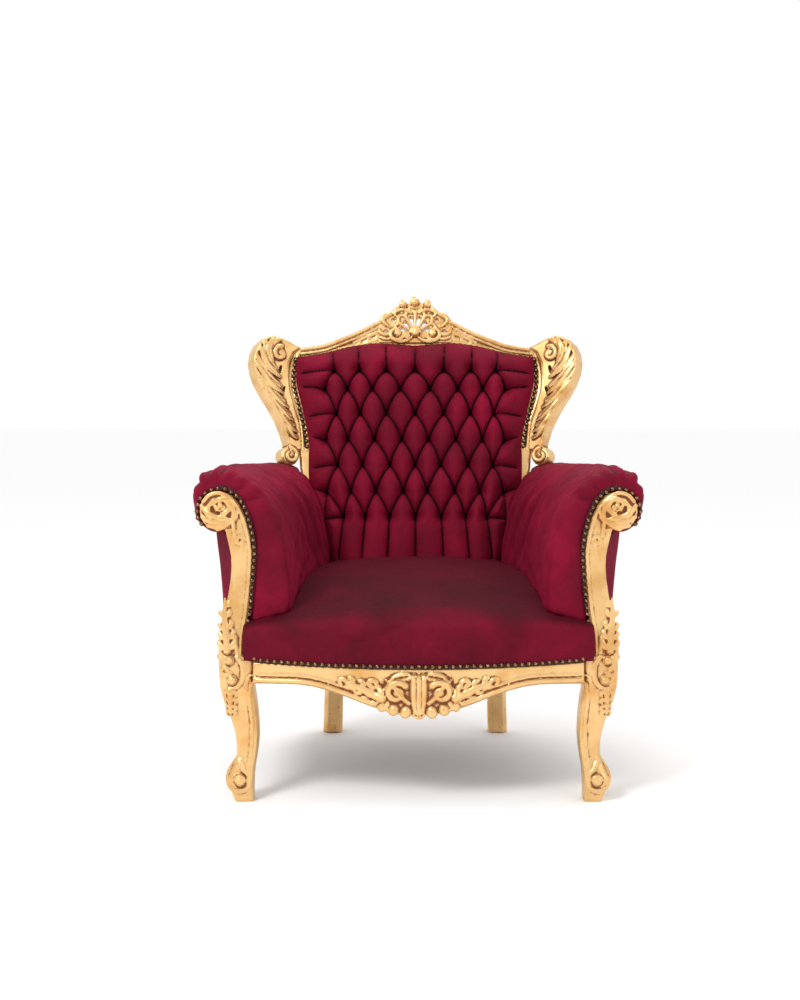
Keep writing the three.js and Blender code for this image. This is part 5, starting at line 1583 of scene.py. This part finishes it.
class CHAIR_OT_nails(bpy.types.Operator):
    """Decorative nails: close set along every edge where the velvet meets the show-wood"""

    bl_idname = "chair.nails"
    bl_label = "Nails"

    def execute(self, context):
        seen = (
            "seat_cover", "arm_cover_left", "arm_post_left", "front_rail", "front_nail_band",
            "arm_nail_band_left"
        )
        front = Panel([cad_shape(n) for n in seen], (0, -430, 0), ACROSS, UP, FORWARD)
        xs = np.linspace(0, 336, 40)
        run = [(x, float(nail_line(x)) + 6.0) for x in xs]
        run += [
            (348, 306), (357, 314), (362, 325), (363, 338), (361, 352), (358, 368), (354, 392), (347, 462),
            (343, 528)
        ]
        cx, cz, radius = SCROLL
        run += [(350, 575), (361, 612), (377, 638)]
        for degrees in range(118, -40, -14):
            a = math.radians(degrees)
            run.append((cx + (radius + 6.5) * math.cos(a), cz + (radius + 6.5) * math.sin(a)))
        flat = spaced(run)
        laid = front.lay(flat, 0.2)
        deep = laid[:, 1].copy()
        high = flat[:, 1] > 345
        deep[high] = np.clip(deep[high], -384, -372)
        laid[:, 1] = relaxed_line(deep, 2)
        outs = np.tile(FORWARD, (len(laid), 1))
        both = np.vstack([laid, laid[1:] * [-1, 1, 1]])
        nail_heads("front_nails", both, np.vstack([outs, outs[1:]]))
        belongs_band = ["front_nail_band", "arm_nail_band_left", "arm_nail_band_right"]

        sides = []
        levels = np.linspace(404, 626, 40)
        half = half_width(levels) + 6
        sides += list(zip(half, levels))
        sides += [(306, 634), (299, 640)]
        sides += [(x, float(velvet_top(x)) + 5) for x in np.linspace(286, 0, 24)]
        flat = spaced(sides)
        places = on_back(flat[:, 0], flat[:, 1], np.full(len(flat), 2.6))
        outs = np.tile(BACK_OUT, (len(places), 1))
        nail_heads(
            "back_nails", np.vstack([places, places[:-1] * [-1, 1, 1]]), np.vstack([outs, outs[:-1]])
        )

        line = line_through(SIDE_FACE, 200)
        normal = unit(np.stack([np.gradient(line[:, 1]), -np.gradient(line[:, 0])], axis=1))
        keep = (line[:, 1] > -316) & (line[:, 1] < 186)
        line, normal = line[keep], normal[keep]
        line3 = np.c_[line - normal * 0.6, np.full(len(line), 320.5)]
        places = spaced(line3)
        near = nearest(places, line3)[1]
        outs = np.c_[normal[near], np.zeros(len(near))]
        if outs[0, 0] < 0:
            outs = -outs
        nail_heads(
            "side_nails", np.vstack([places, places * [-1, 1, 1]]), np.vstack([outs, outs * [-1, 1, 1]])
        )

        run = [(x, v) for v, x in (
            (0, 184), (100, 198), (200, 232), (300, 262), (400, 266), (500, 286), (600, 296), (630, 294)
        )]
        run += [(x, float(velvet_top(x)) - 8) for x in np.linspace(280, 0, 20)]
        flat = spaced(run)
        places = on_back(flat[:, 0], flat[:, 1], np.full(len(flat), -46.6))
        outs = np.tile(-BACK_OUT, (len(places), 1))
        nail_heads(
            "outside_back_nails", np.vstack([places, places[:-1] * [-1, 1, 1]]),
            np.vstack([outs, outs[:-1]])
        )
        # The nail bands take the dark gimp finish, which also stands as painted shadow behind the nail heads.
        for node in belongs_band + ["back_nail_band", "side_nail_band_left", "side_nail_band_right"]:
            dress(node, "gimp")
        return {"FINISHED"}


def dress(node, name):
    """Gives a CAD node its finish."""
    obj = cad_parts[node]
    obj.data.materials.clear()
    obj.data.materials.append(finish(name))


class CHAIR_OT_hidden_frame(bpy.types.Operator):
    """What the upholstery hides: beech rails and blocks, springs, webbing, hessian and the dust cover"""

    bl_idname = "chair.hidden_frame"
    bl_label = "Hidden frame"

    def execute(self, context):
        inside = {
            "beech": [
                "back_rail", "back_tacking_rail", "front_corner_block_left", "front_corner_block_right",
                "back_corner_block_left", "back_corner_block_right", "arm_rail_left", "arm_rail_right",
            ],
            "jute": ["back_webbing", "seat_hessian"],
            "steel": ["seat_spring_%d" % i for i in range(1, 6)],
            "cambric": ["dust_cover"],
        }
        for name, nodes in inside.items():
            for node in nodes:
                dress(node, name)
        return {"FINISHED"}


# ----------------------------------------------------------------------------------------------------------
# Stage
# ----------------------------------------------------------------------------------------------------------


def area_light(name, energy, size, place, target, colour=(1, 1, 1)):
    light = bpy.data.lights.new(name, "AREA")
    light.energy, light.shape, light.size, light.color = energy, "DISK", size, colour
    obj = bpy.data.objects.new(name, light)
    bpy.context.scene.collection.objects.link(obj)
    obj.location = place
    obj.rotation_euler = (Vector(target) - Vector(place)).to_track_quat("-Z", "Y").to_euler()
    return obj


class CHAIR_OT_stage(bpy.types.Operator):
    """Plain pale floor, soft studio light and the camera"""

    bl_idname = "chair.stage"
    bl_label = "Stage"

    def execute(self, context):
        material = new_material("matt_white_floor_paint")
        surface(material, Base_Color=rgba(grey(0.97)), Roughness=0.95)
        mesh = bpy.data.meshes.new("floor")
        reach = 60.0
        corners = [
            (-reach, -reach, -0.001), (reach, -reach, -0.001), (reach, reach, -0.001),
            (-reach, reach, -0.001)
        ]
        mesh.from_pydata(corners, [], [(0, 1, 2, 3)])
        mesh.materials.append(material)
        floor = bpy.data.objects.new("floor", mesh)
        context.scene.collection.objects.link(floor)
        floor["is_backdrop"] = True

        world = bpy.data.worlds.new("studio")
        context.scene.world = world
        world.use_nodes = True
        back = world.node_tree.nodes["Background"]
        back.inputs["Color"].default_value = (1, 1, 1, 1)
        back.inputs["Strength"].default_value = 1.0

        area_light("key", 75, 1.2, (-1.8, -2.4, 3.0), (0, 0, 0.6))
        area_light("fill", 12, 2.0, (2.6, -2.4, 1.8), (0, 0, 0.5))
        area_light("top", 25, 1.6, (0.2, 0.6, 3.4), (0, 0, 0.7))

        camera = bpy.data.cameras.new("camera")
        camera.lens = 50
        camera.sensor_width = 36
        camera.clip_end = 60
        obj = bpy.data.objects.new("camera", camera)
        context.scene.collection.objects.link(obj)
        obj.location = (-0.0387, -3.241, 0.8192)
        obj.rotation_euler = (math.radians(90 - 3.721), 0, 0)
        context.scene.camera = obj
        context.scene.view_settings.view_transform = "Standard"
        return {"FINISHED"}


# ----------------------------------------------------------------------------------------------------------
# Sidebar panel and registration
# ----------------------------------------------------------------------------------------------------------

STEPS = (
    CHAIR_OT_stage,
    CHAIR_OT_front_frame,
    CHAIR_OT_side_rails,
    CHAIR_OT_back_posts,
    CHAIR_OT_crest,
    CHAIR_OT_ears,
    CHAIR_OT_hidden_frame,
    CHAIR_OT_inside_back,
    CHAIR_OT_seat,
    CHAIR_OT_arms,
    CHAIR_OT_outside_covers,
    CHAIR_OT_nails,
)
SETTINGS = {
    "chair_finishes": ChairFinishes,
    "chair_upholstery": ChairUpholstery,
    "chair_carving": ChairCarving,
}


class CHAIR_PT_workshop(bpy.types.Panel):
    """Sizes, colours and building steps of the armchair"""

    bl_idname = "CHAIR_PT_workshop"
    bl_label = "Gilt armchair"
    bl_space_type = "VIEW_3D"
    bl_region_type = "UI"
    bl_category = "Armchair"

    def draw(self, context):
        for name, kind in SETTINGS.items():
            box = self.layout.box()
            for field in kind.__annotations__:
                box.prop(getattr(context.scene, name), field)
        column = self.layout.column(align=True)
        for step in STEPS:
            column.operator(step.bl_idname)


def register():
    for kind in (*SETTINGS.values(), *STEPS, CHAIR_PT_workshop):
        bpy.utils.register_class(kind)
    for name, kind in SETTINGS.items():
        setattr(bpy.types.Scene, name, PointerProperty(type=kind))


def unregister():
    for name in SETTINGS:
        delattr(bpy.types.Scene, name)
    for kind in (CHAIR_PT_workshop, *reversed(STEPS), *reversed(tuple(SETTINGS.values()))):
        bpy.utils.unregister_class(kind)


def main():
    register()
    for step in STEPS:
        group, name = step.bl_idname.split(".")
        getattr(getattr(bpy.ops, group), name)()
    sizes = {key: [list(corner) for corner in box] for key, box in (
        ("cad", CAD_BOX), ("visual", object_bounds())
    )}


if __name__ == "__main__":
    main()
